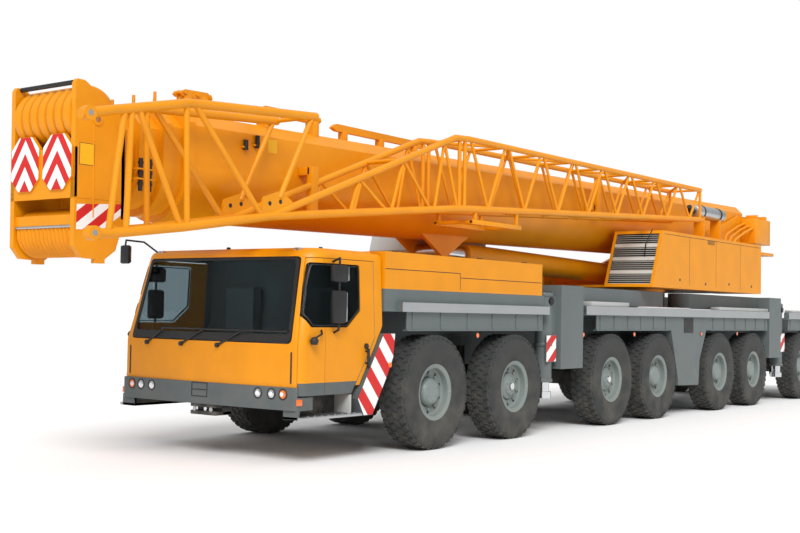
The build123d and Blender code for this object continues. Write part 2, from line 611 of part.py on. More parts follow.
# luffing cylinder
LX, LZ = LUFF_EYE_X - LUFF_PIN_X, LUFF_EYE_Z - LUFF_PIN_Z
LUFF_LEN = (LX ** 2 + LZ ** 2) ** 0.5
UX, UZ = LX / LUFF_LEN, LZ / LUFF_LEN
BARREL_END = (BARREL_FRONT_X - LUFF_PIN_X) / UX


def luff_point(s):
    """World point s along the luffing cylinder."""
    return (LUFF_PIN_X + s * UX, 0, LUFF_PIN_Z + s * UZ)


with BuildPart() as luffing_cylinder:
    tube_between(luff_point(200), luff_point(BARREL_END), BARREL_R)
    tube_between(luff_point(290), luff_point(BARREL_END + 10), ROD_R + FIT, mode=Mode.SUBTRACT)
    cyl_y(LUFF_PIN_X, LUFF_PIN_Z, 108, -115, 115)
    tube_between(luff_point(60), luff_point(220), 108)
    cyl_y(LUFF_PIN_X, LUFF_PIN_Z, LUFF_PIN_R + FIT, -120, 120, mode=Mode.SUBTRACT)
luffing_cylinder.part.label = "luffing_cylinder"
export_step(luffing_cylinder.part, "parts/luffing_cylinder.step")

with BuildPart() as luffing_rod:
    tube_between(luff_point(300), luff_point(LUFF_LEN - 60), ROD_R)
    cyl_y(LUFF_EYE_X, LUFF_EYE_Z, 105, -EAR_Y + SEAT_GAP, EAR_Y - SEAT_GAP)
    cyl_y(LUFF_EYE_X, LUFF_EYE_Z, 60, -EAR_Y, EAR_Y, mode=Mode.SUBTRACT)
luffing_rod.part.label = "luffing_rod"
export_step(luffing_rod.part, "parts/luffing_rod.step")
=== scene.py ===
"""Looks of an eight-axle mobile crane round its CAD frame, in metres, +X forward, +Y left, +Z up."""
import logging
import math
from collections.abc import Callable, Sequence
from dataclasses import dataclass, field
from enum import Enum

import bmesh
import bpy
from mathutils import Matrix, Vector


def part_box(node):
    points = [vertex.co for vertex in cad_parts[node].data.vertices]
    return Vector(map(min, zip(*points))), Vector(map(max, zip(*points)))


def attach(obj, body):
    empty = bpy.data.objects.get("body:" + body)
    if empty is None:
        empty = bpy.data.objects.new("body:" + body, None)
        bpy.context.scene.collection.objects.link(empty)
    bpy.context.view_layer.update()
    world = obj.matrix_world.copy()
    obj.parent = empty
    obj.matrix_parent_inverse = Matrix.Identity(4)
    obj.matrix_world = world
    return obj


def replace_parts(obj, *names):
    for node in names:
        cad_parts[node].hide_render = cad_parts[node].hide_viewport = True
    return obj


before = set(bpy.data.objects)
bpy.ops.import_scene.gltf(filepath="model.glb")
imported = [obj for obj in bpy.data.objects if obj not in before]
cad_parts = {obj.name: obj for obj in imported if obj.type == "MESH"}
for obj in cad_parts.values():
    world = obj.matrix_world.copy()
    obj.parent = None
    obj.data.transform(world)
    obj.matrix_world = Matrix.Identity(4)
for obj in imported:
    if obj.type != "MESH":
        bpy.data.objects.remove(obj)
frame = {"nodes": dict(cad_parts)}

log = logging.getLogger("crane")
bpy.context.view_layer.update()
Point = tuple[float, float, float]
Colour = tuple[float, float, float]
Flat = tuple[float, float]


# --- Finishes ---
class Kind(Enum):
    """What a surface is made of, which decides how its shader is set up."""

    PAINT = "paint"
    METAL = "metal"
    RUBBER = "rubber"
    PLASTIC = "plastic"
    GLASS = "glass"
    LAMP = "lamp"


@dataclass(frozen=True)
class Finish:
    """One finish of the crane, with the values that its shader takes."""

    name: str
    colour: Colour
    kind: Kind = Kind.PAINT
    roughness: float = 0.4
    mottle: float = 0.06
    mottle_scale: float = 3.0
    dust: float = 0.25
    dust_height: float = 1.6
    bump: float = 0.04
    bump_scale: float = 40.0


def linear(r: int, g: int, b: int) -> Colour:
    """Return a screen colour, 0 to 255 a channel, as the linear values that shaders use."""
    return tuple(((c / 255 + 0.055) / 1.055) ** 2.4 if c > 10 else c / 255 / 12.92 for c in (r, g, b))


YELLOW = Finish("chrome yellow paint", linear(226, 144, 0), roughness=0.45, dust=0.05)
GREY = Finish("slate grey paint", linear(98, 106, 106), roughness=0.5, dust=0.2)
BUMPER_GREY = Finish("bumper grey paint", linear(86, 93, 94), roughness=0.5, dust=0.15)
DARK = Finish("black chassis paint", linear(38, 39, 40), roughness=0.55, dust=0.5)
ALUMINIUM = Finish("brushed aluminium", linear(190, 193, 195), Kind.METAL, roughness=0.38, dust=0.1,
                   mottle=0.04)
RUBBER = Finish("tyre rubber", linear(52, 54, 54), Kind.RUBBER, roughness=0.85, dust=0.22, dust_height=1.5,
                mottle=0.03, bump=0.25, bump_scale=90)
RIM = Finish("rim grey paint", linear(124, 134, 132), roughness=0.45, dust=0.3)
TRIM = Finish("black moulded trim", linear(26, 27, 28), Kind.PLASTIC, roughness=0.55, dust=0.1, bump=0.1,
              bump_scale=220)
INTERIOR = Finish("dark cab lining", linear(120, 126, 128), Kind.PLASTIC, roughness=0.8, dust=0.0, bump=0.12,
                  bump_scale=160)
CHROME = Finish("hard chrome", linear(215, 217, 220), Kind.METAL, roughness=0.16, dust=0.0, mottle=0.02)
GLASS = Finish("tinted glass", linear(205, 218, 222), Kind.GLASS, roughness=0.02)
DOOR_GLASS = Finish("dark tinted glass", linear(120, 132, 136), Kind.GLASS, roughness=0.02)
PALE_GREY = Finish("light grey paint", linear(176, 178, 176), roughness=0.45)
PLATE_YELLOW = Finish("yellow plate", linear(238, 178, 20), roughness=0.5, dust=0.05)
LENS = Finish("clear lamp lens", linear(235, 238, 240), Kind.LAMP, roughness=0.12, dust=0.0)
ORANGE_LENS = Finish("orange lamp lens", linear(240, 110, 20), Kind.LAMP, roughness=0.2, dust=0.0)
RED_LENS = Finish("red lamp lens", linear(190, 20, 15), Kind.LAMP, roughness=0.2, dust=0.0)
WHITE = Finish("white reflective sheet", linear(240, 240, 238), roughness=0.45, dust=0.05)
RED = Finish("red reflective sheet", linear(205, 32, 30), roughness=0.45, dust=0.05)
# matte light grey for the silver louvre slats: their metal colour, with the bright reflection they show
# painted in
LOUVRE_GREY_PAINTED_REFLECTION = Finish("louvre grey with painted reflection", linear(196, 195, 188), roughness=0.5, dust=0.1)


def add_node(tree: bpy.types.NodeTree, kind: str, values: dict[str | int, object] | None = None,
             **settings: object) -> bpy.types.Node:
    """Add a node to a tree.

    Args:
        tree: The tree.
        kind: The node's type.
        values: Values of its input sockets, by their name or number.
        settings: Values of its own properties, such as the operation.

    Returns:
        The new node.
    """
    made = tree.nodes.new(kind)
    for name, value in settings.items():
        setattr(made, name, value)
    for socket, value in (values or {}).items():
        made.inputs[socket].default_value = value
    return made


def wire(tree: bpy.types.NodeTree,
         *links: tuple[bpy.types.Node, str | int, bpy.types.Node, str | int]) -> None:
    """Link nodes, each link given as a node, its output, the next node and its input."""
    for source, output, target, entry in links:
        tree.links.new(source.outputs[output], target.inputs[entry])


class Groups:
    """Shader node groups that more than one finish uses."""

    def __init__(self) -> None:
        """Build each group once."""
        self.mottle = self._mottle()
        self.dust = self._dust()
        self.grain = self._grain()

    @staticmethod
    def _new(name: str, sockets: Sequence[tuple[str, str, str]]) -> bpy.types.ShaderNodeTree:
        """Return an empty group with the given sockets.

        Args:
            name: The group's name.
            sockets: Tuples of socket name, "INPUT" or "OUTPUT", and socket type.

        Returns:
            The new group, with its input and output nodes.
        """
        tree = bpy.data.node_groups.new(name, "ShaderNodeTree")
        for label, direction, kind in sockets:
            tree.interface.new_socket(label, in_out=direction, socket_type=kind)
        tree.nodes.new("NodeGroupInput").name = "in"
        tree.nodes.new("NodeGroupOutput").name = "out"
        return tree

    def _mottle(self) -> bpy.types.ShaderNodeTree:
        """Return the group that varies a colour slightly over large patches.

        Returns:
            The new group.
        """
        tree = self._new("Mottle", (("Colour", "INPUT", "NodeSocketColor"),
                                    ("Amount", "INPUT", "NodeSocketFloat"),
                                    ("Scale", "INPUT", "NodeSocketFloat"),
                                    ("Colour", "OUTPUT", "NodeSocketColor")))
        given, out = tree.nodes["in"], tree.nodes["out"]
        coords = add_node(tree, "ShaderNodeTexCoord")
        noise = add_node(tree, "ShaderNodeTexNoise", {"Detail": 4})
        spread = add_node(tree, "ShaderNodeMath", {2: 1}, operation="MULTIPLY_ADD")
        shift = add_node(tree, "ShaderNodeMath", {1: 0.5}, operation="SUBTRACT")
        tone = add_node(tree, "ShaderNodeHueSaturation")
        wire(tree, (coords, "Object", noise, "Vector"), (given, "Scale", noise, "Scale"),
             (noise, "Fac", shift, 0),
             (shift, 0, spread, 0), (given, "Amount", spread, 1), (spread, 0, tone, "Value"),
             (given, "Colour", tone, "Color"), (tone, "Color", out, "Colour"))
        return tree

    def _dust(self) -> bpy.types.ShaderNodeTree:
        """Return the group that lays road dust over a colour, thickest near the ground.

        Returns:
            The new group.
        """
        tree = self._new("Road dust", (("Colour", "INPUT", "NodeSocketColor"),
                                       ("Amount", "INPUT", "NodeSocketFloat"),
                                       ("Height", "INPUT", "NodeSocketFloat"),
                                       ("Colour", "OUTPUT", "NodeSocketColor"),
                                       ("Mask", "OUTPUT", "NodeSocketFloat")))
        given, out = tree.nodes["in"], tree.nodes["out"]
        coords = add_node(tree, "ShaderNodeTexCoord")
        split = add_node(tree, "ShaderNodeSeparateXYZ")
        fall = add_node(tree, "ShaderNodeMapRange", {"To Min": 1, "To Max": 0})
        noise = add_node(tree, "ShaderNodeTexNoise", {"Scale": 5, "Detail": 6})
        ramp = add_node(tree, "ShaderNodeMapRange", {"From Min": 0.35, "From Max": 0.7})
        mask = add_node(tree, "ShaderNodeMath", operation="MULTIPLY")
        scaled = add_node(tree, "ShaderNodeMath", operation="MULTIPLY")
        mix = add_node(tree, "ShaderNodeMix", {"B": (*linear(150, 141, 126), 1)}, data_type="RGBA")
        wire(tree, (coords, "Object", split, 0), (split, "Z", fall, "Value"),
             (given, "Height", fall, "From Max"),
             (coords, "Object", noise, "Vector"), (noise, "Fac", ramp, "Value"), (fall, 0, mask, 0),
             (ramp, 0, mask, 1), (mask, 0, scaled, 0), (given, "Amount", scaled, 1),
             (scaled, 0, mix, "Factor"),
             (given, "Colour", mix, "A"), (mix, "Result", out, "Colour"), (scaled, 0, out, "Mask"))
        return tree

    def _grain(self) -> bpy.types.ShaderNodeTree:
        """Return the group that gives a fine surface height and a varied roughness.

        Returns:
            The new group.
        """
        tree = self._new("Grain", (("Scale", "INPUT", "NodeSocketFloat"),
                                   ("Roughness", "INPUT", "NodeSocketFloat"),
                                   ("Height", "OUTPUT", "NodeSocketFloat"),
                                   ("Roughness", "OUTPUT", "NodeSocketFloat")))
        given, out = tree.nodes["in"], tree.nodes["out"]
        coords = add_node(tree, "ShaderNodeTexCoord")
        noise = add_node(tree, "ShaderNodeTexNoise", {"Detail": 3})
        soft = add_node(tree, "ShaderNodeTexNoise", {"Scale": 6})
        vary = add_node(tree, "ShaderNodeMath", {1: 0.16}, operation="MULTIPLY_ADD")
        lower = add_node(tree, "ShaderNodeMath", {1: 0.08}, operation="SUBTRACT")
        wire(tree, (coords, "Object", noise, "Vector"), (given, "Scale", noise, "Scale"),
             (coords, "Object", soft, "Vector"), (soft, "Fac", vary, 0), (given, "Roughness", vary, 2),
             (vary, 0, lower, 0), (noise, "Fac", out, "Height"), (lower, 0, out, "Roughness"))
        return tree


class Finishes:
    """Makes each finish's material once."""

    def __init__(self) -> None:
        """Build the shared groups."""
        self.groups = Groups()
        self.made: dict[str, bpy.types.Material] = {}

    def get(self, finish: Finish) -> bpy.types.Material:
        """Return the material of a finish, made on first use.

        Args:
            finish: The finish.

        Returns:
            The material.
        """
        if finish.name not in self.made:
            self.made[finish.name] = self._make(finish)
        return self.made[finish.name]

    def _make(self, finish: Finish) -> bpy.types.Material:
        """Return a new material with the finish's values.

        Args:
            finish: The finish to make.

        Returns:
            A material whose colour, roughness and bump come from the shared groups.
        """
        mat = bpy.data.materials.new(finish.name)
        mat.use_nodes = True
        tree = mat.node_tree
        shader = tree.nodes["Principled BSDF"]
        values = {
            Kind.GLASS: {"Base Color": (*finish.colour, 1), "Roughness": finish.roughness,
                         "Transmission Weight": 1, "IOR": 1.12},
            Kind.PAINT: {"Coat Weight": 0.05, "Specular IOR Level": 0.35, "Coat Roughness": 0.15},
            Kind.METAL: {"Metallic": 1}, Kind.LAMP: {"Coat Weight": 0.8, "Coat Roughness": 0.05}}
        for socket, value in values.get(finish.kind, {}).items():
            shader.inputs[socket].default_value = value
        if finish.kind is Kind.GLASS:
            return mat
        mottle = add_node(tree, "ShaderNodeGroup", node_tree=self.groups.mottle)
        dust = add_node(tree, "ShaderNodeGroup", node_tree=self.groups.dust)
        grain = add_node(tree, "ShaderNodeGroup", node_tree=self.groups.grain)
        given = ((mottle, "Colour", (*finish.colour, 1)), (mottle, "Amount", finish.mottle * 4),
                 (mottle, "Scale", finish.mottle_scale), (dust, "Amount", finish.dust),
                 (dust, "Height", finish.dust_height), (grain, "Scale", finish.bump_scale),
                 (grain, "Roughness", finish.roughness))
        for node, socket, value in given:
            node.inputs[socket].default_value = value
        bump = add_node(tree, "ShaderNodeBump", {"Strength": finish.bump, "Distance": 0.002})
        wire(tree, (mottle, "Colour", dust, "Colour"), (dust, "Colour", shader, "Base Color"),
             (grain, "Roughness", shader, "Roughness"), (grain, "Height", bump, "Height"),
             (bump, "Normal", shader, "Normal"))
        return mat


MATERIALS = Finishes()


# --- Mesh helpers ---
class Piece:
    def __init__(self, name: str, body: str, slot: str) -> None:
        """Start an empty piece that rides on a body.

        Args:
            name: The name of the piece.
            body: The body that it rides on.
            slot: Its material slot; it is not used.
        """
        self.name, self.body, self.slot = name, body, slot
        self.bm = bmesh.new()
        self.finishes: list[Finish] = []

    def _index(self, finish: Finish) -> int:
        """Return the material index of a finish on this piece.

        Args:
            finish: The finish.

        Returns:
            The index.
        """
        if finish not in self.finishes:
            self.finishes.append(finish)
        return self.finishes.index(finish)

    def _unpainted(self) -> list[bmesh.types.BMFace]:
        """Return the faces that have no finish yet."""
        layer = self.bm.faces.layers.int.get("painted") or self.bm.faces.layers.int.new("painted")
        return [face for face in self.bm.faces if not face[layer]]

    def _paint(self, finish: Finish) -> None:
        """Give the faces that have no finish yet this one.

        Args:
            finish: The finish.
        """
        fresh, index = self._unpainted(), self._index(finish)
        layer = self.bm.faces.layers.int.get("painted")
        for face in fresh:
            face.material_index, face[layer] = index, 1

    def prism(self, outline: Sequence[Point], depth: Point, finish: Finish) -> None:
        """Add a closed outline extruded along a vector.

        Args:
            outline: The corners of one end, in order.
            depth: The vector from one end to the other.
            finish: Its finish.
        """
        low = [self.bm.verts.new(p) for p in outline]
        high = [self.bm.verts.new(Vector(p) + Vector(depth)) for p in outline]
        self.bm.faces.new(low)
        self.bm.faces.new(high[::-1])
        for i in range(len(low)):
            j = (i + 1) % len(low)
            self.bm.faces.new((low[i], high[i], high[j], low[j]))
        self._paint(finish)

    def block(self, lo: Point, hi: Point, finish: Finish, bevel: float = 0.0) -> None:
        """Add a box between two corners, with its edges bevelled if asked.

        Args:
            lo: Its lowest corner.
            hi: Its highest corner.
            finish: Its finish.
            bevel: The width of its bevelled edges.
        """
        made = bmesh.ops.create_cube(self.bm, size=1)
        size, mid = Vector(hi) - Vector(lo), (Vector(hi) + Vector(lo)) / 2
        bmesh.ops.scale(self.bm, vec=[abs(s) for s in size], verts=made["verts"])
        bmesh.ops.translate(self.bm, vec=mid, verts=made["verts"])
        if bevel:
            edges = list(dict.fromkeys(e for v in made["verts"] for e in v.link_edges))
            bmesh.ops.bevel(self.bm, geom=edges, offset=bevel, segments=2, affect="EDGES", profile=0.5)
        self._paint(finish)

    def rod(self, a: Point, b: Point, radius: float, finish: Finish, sides: int = 16,
            radius_b: float | None = None) -> None:
        """Add a round bar or cone from a to b.

        Args:
            a: One end.
            b: The other end.
            radius: The radius.
            finish: Its finish.
            sides: How many flats make it round.
            radius_b: The radius at the other end, where it differs.
        """
        start, end = Vector(a), Vector(b)
        turn = (end - start).to_track_quat("Z", "Y").to_matrix().to_4x4()
        matrix = Matrix.Translation((start + end) / 2) @ turn
        bmesh.ops.create_cone(self.bm, cap_ends=True, segments=sides, radius1=radius,
                              radius2=radius if radius_b is None else radius_b, depth=(end - start).length,
                              matrix=matrix)
        self._paint(finish)

    def path(self, points: Sequence[Point], radius: float, finish: Finish, sides: int = 10) -> None:
        """Add a round bar along points with rounded joints.

        Args:
            points: The points that it follows.
            radius: The radius.
            finish: Its finish.
            sides: How many flats make it round.
        """
        for a, b in zip(points[:-1], points[1:]):
            self.rod(a, b, radius, finish, sides)
        for p in points[1:-1]:
            bmesh.ops.create_uvsphere(self.bm, u_segments=sides, v_segments=6, radius=radius,
                                      matrix=Matrix.Translation(p))
        self._paint(finish)

    def turned(self, centre: Point, axis: Point, profile: Sequence[Flat], finish: Finish, sides: int = 40,
               loop: bool = False) -> None:
        """Turn a profile about an axis.

        Args:
            centre: Where the profile's offsets are measured from.
            axis: The axis' direction.
            profile: Points of (offset along the axis, radius); a radius of 0 closes an end.
            finish: Its finish.
            sides: How many steps make the turn.
            loop: Whether the last point is joined to the first, as in a ring.
        """
        along = Vector(axis).normalized()
        across = along.orthogonal().normalized()
        other = along.cross(across)
        rows = []
        for offset, radius in profile:
            middle = Vector(centre) + along * offset
            if radius == 0:
                rows.append([self.bm.verts.new(middle)])
                continue
            angles = (2 * math.pi * k / sides for k in range(sides))
            rows.append([self.bm.verts.new(middle + (across * math.cos(a) + other * math.sin(a)) * radius)
                         for a in angles])
        pairs = list(zip(rows, rows[1:])) + ([(rows[-1], rows[0])] if loop else [])
        for low, high in pairs:
            for i in range(sides):
                j = (i + 1) % sides
                ring = [low[i % len(low)], low[j % len(low)], high[j % len(high)], high[i % len(high)]]
                self.bm.faces.new(list(dict.fromkeys(ring)))
        self._paint(finish)

    def take(self, mesh: bpy.types.Mesh, finish: Finish, side: int = 1,
             test: Callable[[Vector, Vector], bool] | None = None, other: Finish | None = None,
             place: Matrix | None = None) -> None:
        """Add a made mesh.

        Args:
            mesh: The mesh to add.
            finish: The finish of its faces.
            side: 1 to add it as it is, -1 to mirror it to the other side.
            test: Picks faces by centre and normal for the other finish.
            other: That other finish.
            place: Where it is moved to first.
        """
        copy = mesh.copy()
        move = place or Matrix()
        copy.transform(move if side > 0 else Matrix.Scale(-1, 4, (0, 1, 0)) @ move)
        if side < 0:
            copy.flip_normals()
        self.bm.from_mesh(copy)
        bpy.data.meshes.remove(copy)
        self.bm.normal_update()
        fresh = self._unpainted()
        self._paint(finish)
        for face in fresh:
            if test and test(face.calc_center_median(), face.normal):
                face.material_index = self._index(other)

    def finish(self, smooth: float = 0.6) -> bpy.types.Object:
        """Turn the gathered mesh into an object that rides on its body.

        Args:
            smooth: Edges flatter than this angle are shaded smooth.

        Returns:
            The new object.
        """
        bmesh.ops.recalc_face_normals(self.bm, faces=self.bm.faces)
        self.bm.faces.layers.int.remove(self.bm.faces.layers.int.get("painted"))
        mesh = bpy.data.meshes.new(self.name)
        self.bm.to_mesh(mesh)
        self.bm.free()
        for finish in self.finishes:
            mesh.materials.append(MATERIALS.get(finish))
        mesh.shade_smooth()
        mesh.set_sharp_from_angle(angle=smooth)
        obj = bpy.data.objects.new(self.name, mesh)
        bpy.context.scene.collection.objects.link(obj)
        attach(obj, self.body)
        log.info("piece %s: %d faces", self.name, len(mesh.polygons))
        return obj


CAD_SMOOTH = 0.5


def dress(node: str, finish: Finish) -> None:
    """Give a CAD node's object its finish.

    Args:
        node: The CAD node's name.
        finish: Its finish.
    """
    mesh = frame["nodes"][node].data
    mesh.materials.clear()
    mesh.materials.append(MATERIALS.get(finish))
    mesh.polygons.foreach_set("material_index", [0] * len(mesh.polygons))
    mesh.shade_smooth()
    mesh.set_sharp_from_angle(angle=CAD_SMOOTH)


JACK_X = 2.74
DOOR_WINDOW = ((7.18, 1.455), (7.79, 1.455), (7.868, 1.57), (7.862, 1.70), (7.722, 2.15), (6.95, 2.15),
               (6.95, 1.64))
AXLE_X = (5.60, 3.78, 0.99, -0.65, -3.22, -4.88, -7.67, -9.35)
SLEW_X = (AXLE_X[3] + AXLE_X[4]) / 2
SIDES = (("left", 1), ("right", -1))
ENDS = (("front", 1), ("rear", -1))


def jack_x(turn: int) -> float:
    """Return the x of the outrigger columns at the front (1) or the rear (-1) of the slewing ring."""
    return SLEW_X + turn * (JACK_X - SLEW_X)


@dataclass
class CadFinishes:
    """Which finish each CAD node shows, by the start of its name; other nodes have pieces in their place."""

    table: dict[str, Finish] = field(default_factory=lambda: {
        "carrier_frame": GREY, "axles": DARK, "deck": GREY, "side_rails": ALUMINIUM, "engine_cover": YELLOW,
        "cab_interior": INTERIOR, "outrigger_arm": GREY, "outrigger_jack": CHROME, "knuckle": DARK,
        "turntable": YELLOW, "operator_cab": PALE_GREY, "winch": DARK, "boom_base": YELLOW,
        "boom_section_1": YELLOW, "boom_section_2": YELLOW, "luffing_cylinder": YELLOW,
        "luffing_rod": CHROME})

    def build(self) -> None:
        """Dress every CAD node that is shown."""
        for node in frame["nodes"]:
            for start, finish in self.table.items():
                if node.startswith(start):
                    dress(node, finish)


# --- Sheets and plates ---
def clip(outline: Sequence[Flat], a: float, b: float, limit: float) -> list[Flat]:
    """Return the part of a convex outline where a*u + b*v stays at or under a limit.

    Args:
        outline: The outline.
        a: The factor of u.
        b: The factor of v.
        limit: The limit.

    Returns:
        The outline that is left.
    """
    kept: list[Flat] = []
    for p, q in zip(outline, (*outline[1:], outline[0])):
        dp, dq = a * p[0] + b * p[1] - limit, a * q[0] + b * q[1] - limit
        if dp <= 0:
            kept.append(p)
        if (dp < 0 < dq) or (dq < 0 < dp):
            t = dp / (dp - dq)
            kept.append((p[0] + (q[0] - p[0]) * t, p[1] + (q[1] - p[1]) * t))
    return kept


@dataclass(frozen=True)
class Surface:
    """A flat surface that sheets are laid on: an origin and two directions along it."""

    origin: Point
    along: Point
    up: Point

    def at(self, u: float, v: float, lift: float = 0.0) -> Vector:
        """Return the point at (u, v), lifted off the surface."""
        out = Vector(self.along).cross(Vector(self.up)).normalized()
        return Vector(self.origin) + Vector(self.along) * u + Vector(self.up) * v + out * lift

    def sheet(self, piece: Piece, outline: Sequence[Flat], finish: Finish, thick: float = 0.0015,
              lift: float = 0.0005) -> None:
        """Lay a thin sheet of one finish on the surface.

        Args:
            piece: The piece that gathers it.
            outline: Its outline in (u, v).
            finish: Its finish.
            thick: Its thickness.
            lift: How far its back lies off the surface.
        """
        if len(outline) < 3:
            return
        back = [tuple(self.at(u, v, lift)) for u, v in outline]
        piece.prism(back, tuple(self.at(0, 0, thick) - self.at(0, 0, 0)), finish)

    def stripes(self, piece: Piece, outline: Sequence[Flat], slope: Flat, width: float, start: float,
                finishes: tuple[Finish, Finish]) -> None:
        """Lay slanting stripes of two finishes within a convex outline.

        Args:
            piece: The piece that gathers them.
            outline: The sheet's outline in (u, v).
            slope: The direction across the stripes.
            width: The width of one stripe.
            start: Where the first stripe begins, along the slope direction.
            finishes: The two finishes, in turn.
        """
        a, b = Vector(slope).normalized()
        reach = [a * u + b * v for u, v in outline]
        k = math.floor((min(reach) - start) / width)
        while start + k * width < max(reach):
            low, high = start + k * width, start + (k + 1) * width
            band = clip(clip(outline, a, b, high), -a, -b, -low)
            self.sheet(piece, band, finishes[k % 2])
            k += 1


def octagon(half_w: float, half_h: float, cut: float) -> list[Flat]:
    """Return an upright rectangle with cut corners.

    Args:
        half_w: Half its width.
        half_h: Half its height.
        cut: How much of each corner is cut.

    Returns:
        Its eight corners in order.
    """
    return [(-half_w + cut, -half_h), (half_w - cut, -half_h), (half_w, -half_h + cut),
            (half_w, half_h - cut), (half_w - cut, half_h), (-half_w + cut, half_h), (-half_w, half_h - cut),
            (-half_w, -half_h + cut)]


def side_surface(side: int, y: float) -> Surface:
    """Return the upright plane that faces left (1) or right (-1) at a distance from the middle."""
    return Surface((0, side * y, 0), (-side, 0, 0), (0, 0, 1))


def on_side(outline: Sequence[Flat], side: int) -> list[Flat]:
    """Return an outline of (x, z) points as a side surface's own (u, v)."""
    return [(-side * x, z) for x, z in outline]


@dataclass
class Markings:
    """Warning sheets and bare plates."""

    board_x: float = 10.2205
    board_z: float = 3.01
    board_half: Flat = (0.216, 0.266)
    board_cut: float = 0.118
    wall_y: float = 0.50
    wall_sheet: tuple[Flat, ...] = ((10.17, 2.60), (9.64, 2.64), (9.64, 2.53), (9.86, 2.37), (10.17, 2.36))
    plate: tuple[Flat, ...] = ((10.15, 2.985), (9.98, 2.985), (9.98, 3.185), (10.15, 3.185))
    plate_rim: tuple[Flat, ...] = ((10.155, 2.98), (9.975, 2.98), (9.975, 3.19), (10.155, 3.19))
    wedge: tuple[Flat, ...] = ((6.585, 1.385), (6.375, 1.385), (6.405, 1.12), (6.49, 0.945), (6.77, 0.485),
                               (6.925, 0.485), (7.03, 0.67))
    wedge_y: float = 1.436
    jack_y: float = 1.42
    jack_half: float = 0.13
    boom_y: float = 0.501
    boom_plate: tuple[Flat, ...] = ((7.57, 3.40), (7.42, 3.40), (7.42, 3.55), (7.57, 3.55))

    def build(self) -> None:
        """Lay every sheet, each on the body that carries it."""
        self.head()
        self.wedges()
        self.arms()
        self.boom()

    def head(self) -> None:
        """Lay the chevrons on the head's two boards, and its side sheets."""
        piece = Piece("head_sheets", "boom_section_3", "trim")
        whole = octagon(*self.board_half, self.board_cut)
        for side in (1, -1):
            face = Surface((self.board_x, side * 0.25, self.board_z), (0, 1, 0), (0, 0, 1))
            for half in (1, -1):
                part = clip(whole, -half, 0, 0)
                face.stripes(piece, part, (half * 1.45, 1), 0.075, -0.012, (RED, WHITE))
            wall = side_surface(side, self.wall_y)
            wall.stripes(piece, on_side(self.wall_sheet, side), (-side * 0.75, 1), 0.088, 0.03, (WHITE, RED))
            wall.sheet(piece, on_side(self.plate, side), PLATE_YELLOW)
            wall.sheet(piece, on_side(self.plate_rim, side), TRIM, thick=0.0008, lift=0.0002)
        piece.finish()

    def wedges(self) -> None:
        """Lay the striped sheets on the plates behind the doors."""
        piece = Piece("wedge_sheets", "carrier", "trim")
        for side in (1, -1):
            face = side_surface(side, self.wedge_y)
            face.stripes(piece, on_side(self.wedge, side), (side * 1.14, 1), 0.128, 0.03, (RED, WHITE))
            piece.rod((6.47, side * 1.437, 1.03), (6.47, side * 1.45, 1.03), 0.028, ORANGE_LENS)
        piece.finish()

    def arms(self) -> None:
        """Lay the hatched sheets on the outrigger jack plates."""
        for end, turn in ENDS:
            low, high = jack_x(turn) - self.jack_half, jack_x(turn) + self.jack_half
            for name, side in SIDES:
                piece = Piece(f"jack_sheet_{end}_{name}", f"outrigger_arm_{end}_{name}", "trim")
                outline = on_side(((high, 0.99), (high, 1.35), (low, 1.35), (low, 0.99)), side)
                side_surface(side, self.jack_y).stripes(piece, outline, (-side * 0.8, 1), 0.11, 0.02,
                                                        (RED, WHITE))
                piece.finish()

    def boom(self) -> None:
        """Lay the bare plates of the boom side."""
        piece = Piece("boom_plates", "boom", "trim")
        for side in (1, -1):
            side_surface(side, self.boom_y).sheet(piece, on_side(self.boom_plate, side), PLATE_YELLOW)
        piece.finish()


# --- Solids cut from one another ---
def rounded(outline: Sequence[Flat], radius: float, steps: int = 5) -> list[Flat]:
    """Return an outline with rounded corners.

    Args:
        outline: Its corners in order.
        radius: The radius of each corner, less where a side is short.
        steps: How many points each corner gets.

    Returns:
        The rounded outline.
    """
    points = [Vector(p) for p in outline]
    result: list[Flat] = []
    for k, corner in enumerate(points):
        back, ahead = points[k - 1] - corner, points[(k + 1) % len(points)] - corner
        reach = min(radius / math.tan(back.angle(ahead) / 2), back.length * 0.45, ahead.length * 0.45)
        a, b = corner + back.normalized() * reach, corner + ahead.normalized() * reach
        for i in range(steps):
            t = i / (steps - 1)
            result.append(tuple((1 - t) ** 2 * a + 2 * t * (1 - t) * corner + t * t * b))
    return result


def shrink(outline: Sequence[Flat], by: float) -> list[Flat]:
    """Return an outline drawn in towards its middle by a distance along each axis.

    Args:
        outline: The outline.
        by: How far it is drawn in.

    Returns:
        The smaller outline.
    """
    mid_u = (min(p[0] for p in outline) + max(p[0] for p in outline)) / 2
    mid_v = (min(p[1] for p in outline) + max(p[1] for p in outline)) / 2
    return [(u - math.copysign(by, u - mid_u), v - math.copysign(by, v - mid_v)) for u, v in outline]


def closed_mesh(rings: Sequence[Sequence[Point]]) -> bpy.types.Mesh:
    """Return a closed solid through rings of equal length, capped at both ends.

    Args:
        rings: The outlines, from one end to the other.

    Returns:
        The solid's mesh.
    """
    bm = bmesh.new()
    loops = [[bm.verts.new(p) for p in ring] for ring in rings]
    bm.faces.new(loops[0])
    bm.faces.new(loops[-1][::-1])
    for low, high in zip(loops, loops[1:]):
        for i in range(len(low)):
            j = (i + 1) % len(low)
            bm.faces.new((low[i], low[j], high[j], high[i]))
    bmesh.ops.recalc_face_normals(bm, faces=bm.faces)
    mesh = bpy.data.meshes.new("solid")
    bm.to_mesh(mesh)
    bm.free()
    return mesh


def side_solid(outline: Sequence[Flat], y0: float, y1: float) -> bpy.types.Mesh:
    """Return a side outline of (x, z) points extruded between two y planes."""
    return closed_mesh([[(x, y, z) for x, z in outline] for y in (y0, y1)])


def front_solid(outline: Sequence[Flat], x0: float, x1: float) -> bpy.types.Mesh:
    """Return a front outline of (y, z) points extruded between two x planes."""
    return closed_mesh([[(x, y, z) for y, z in outline] for x in (x0, x1)])


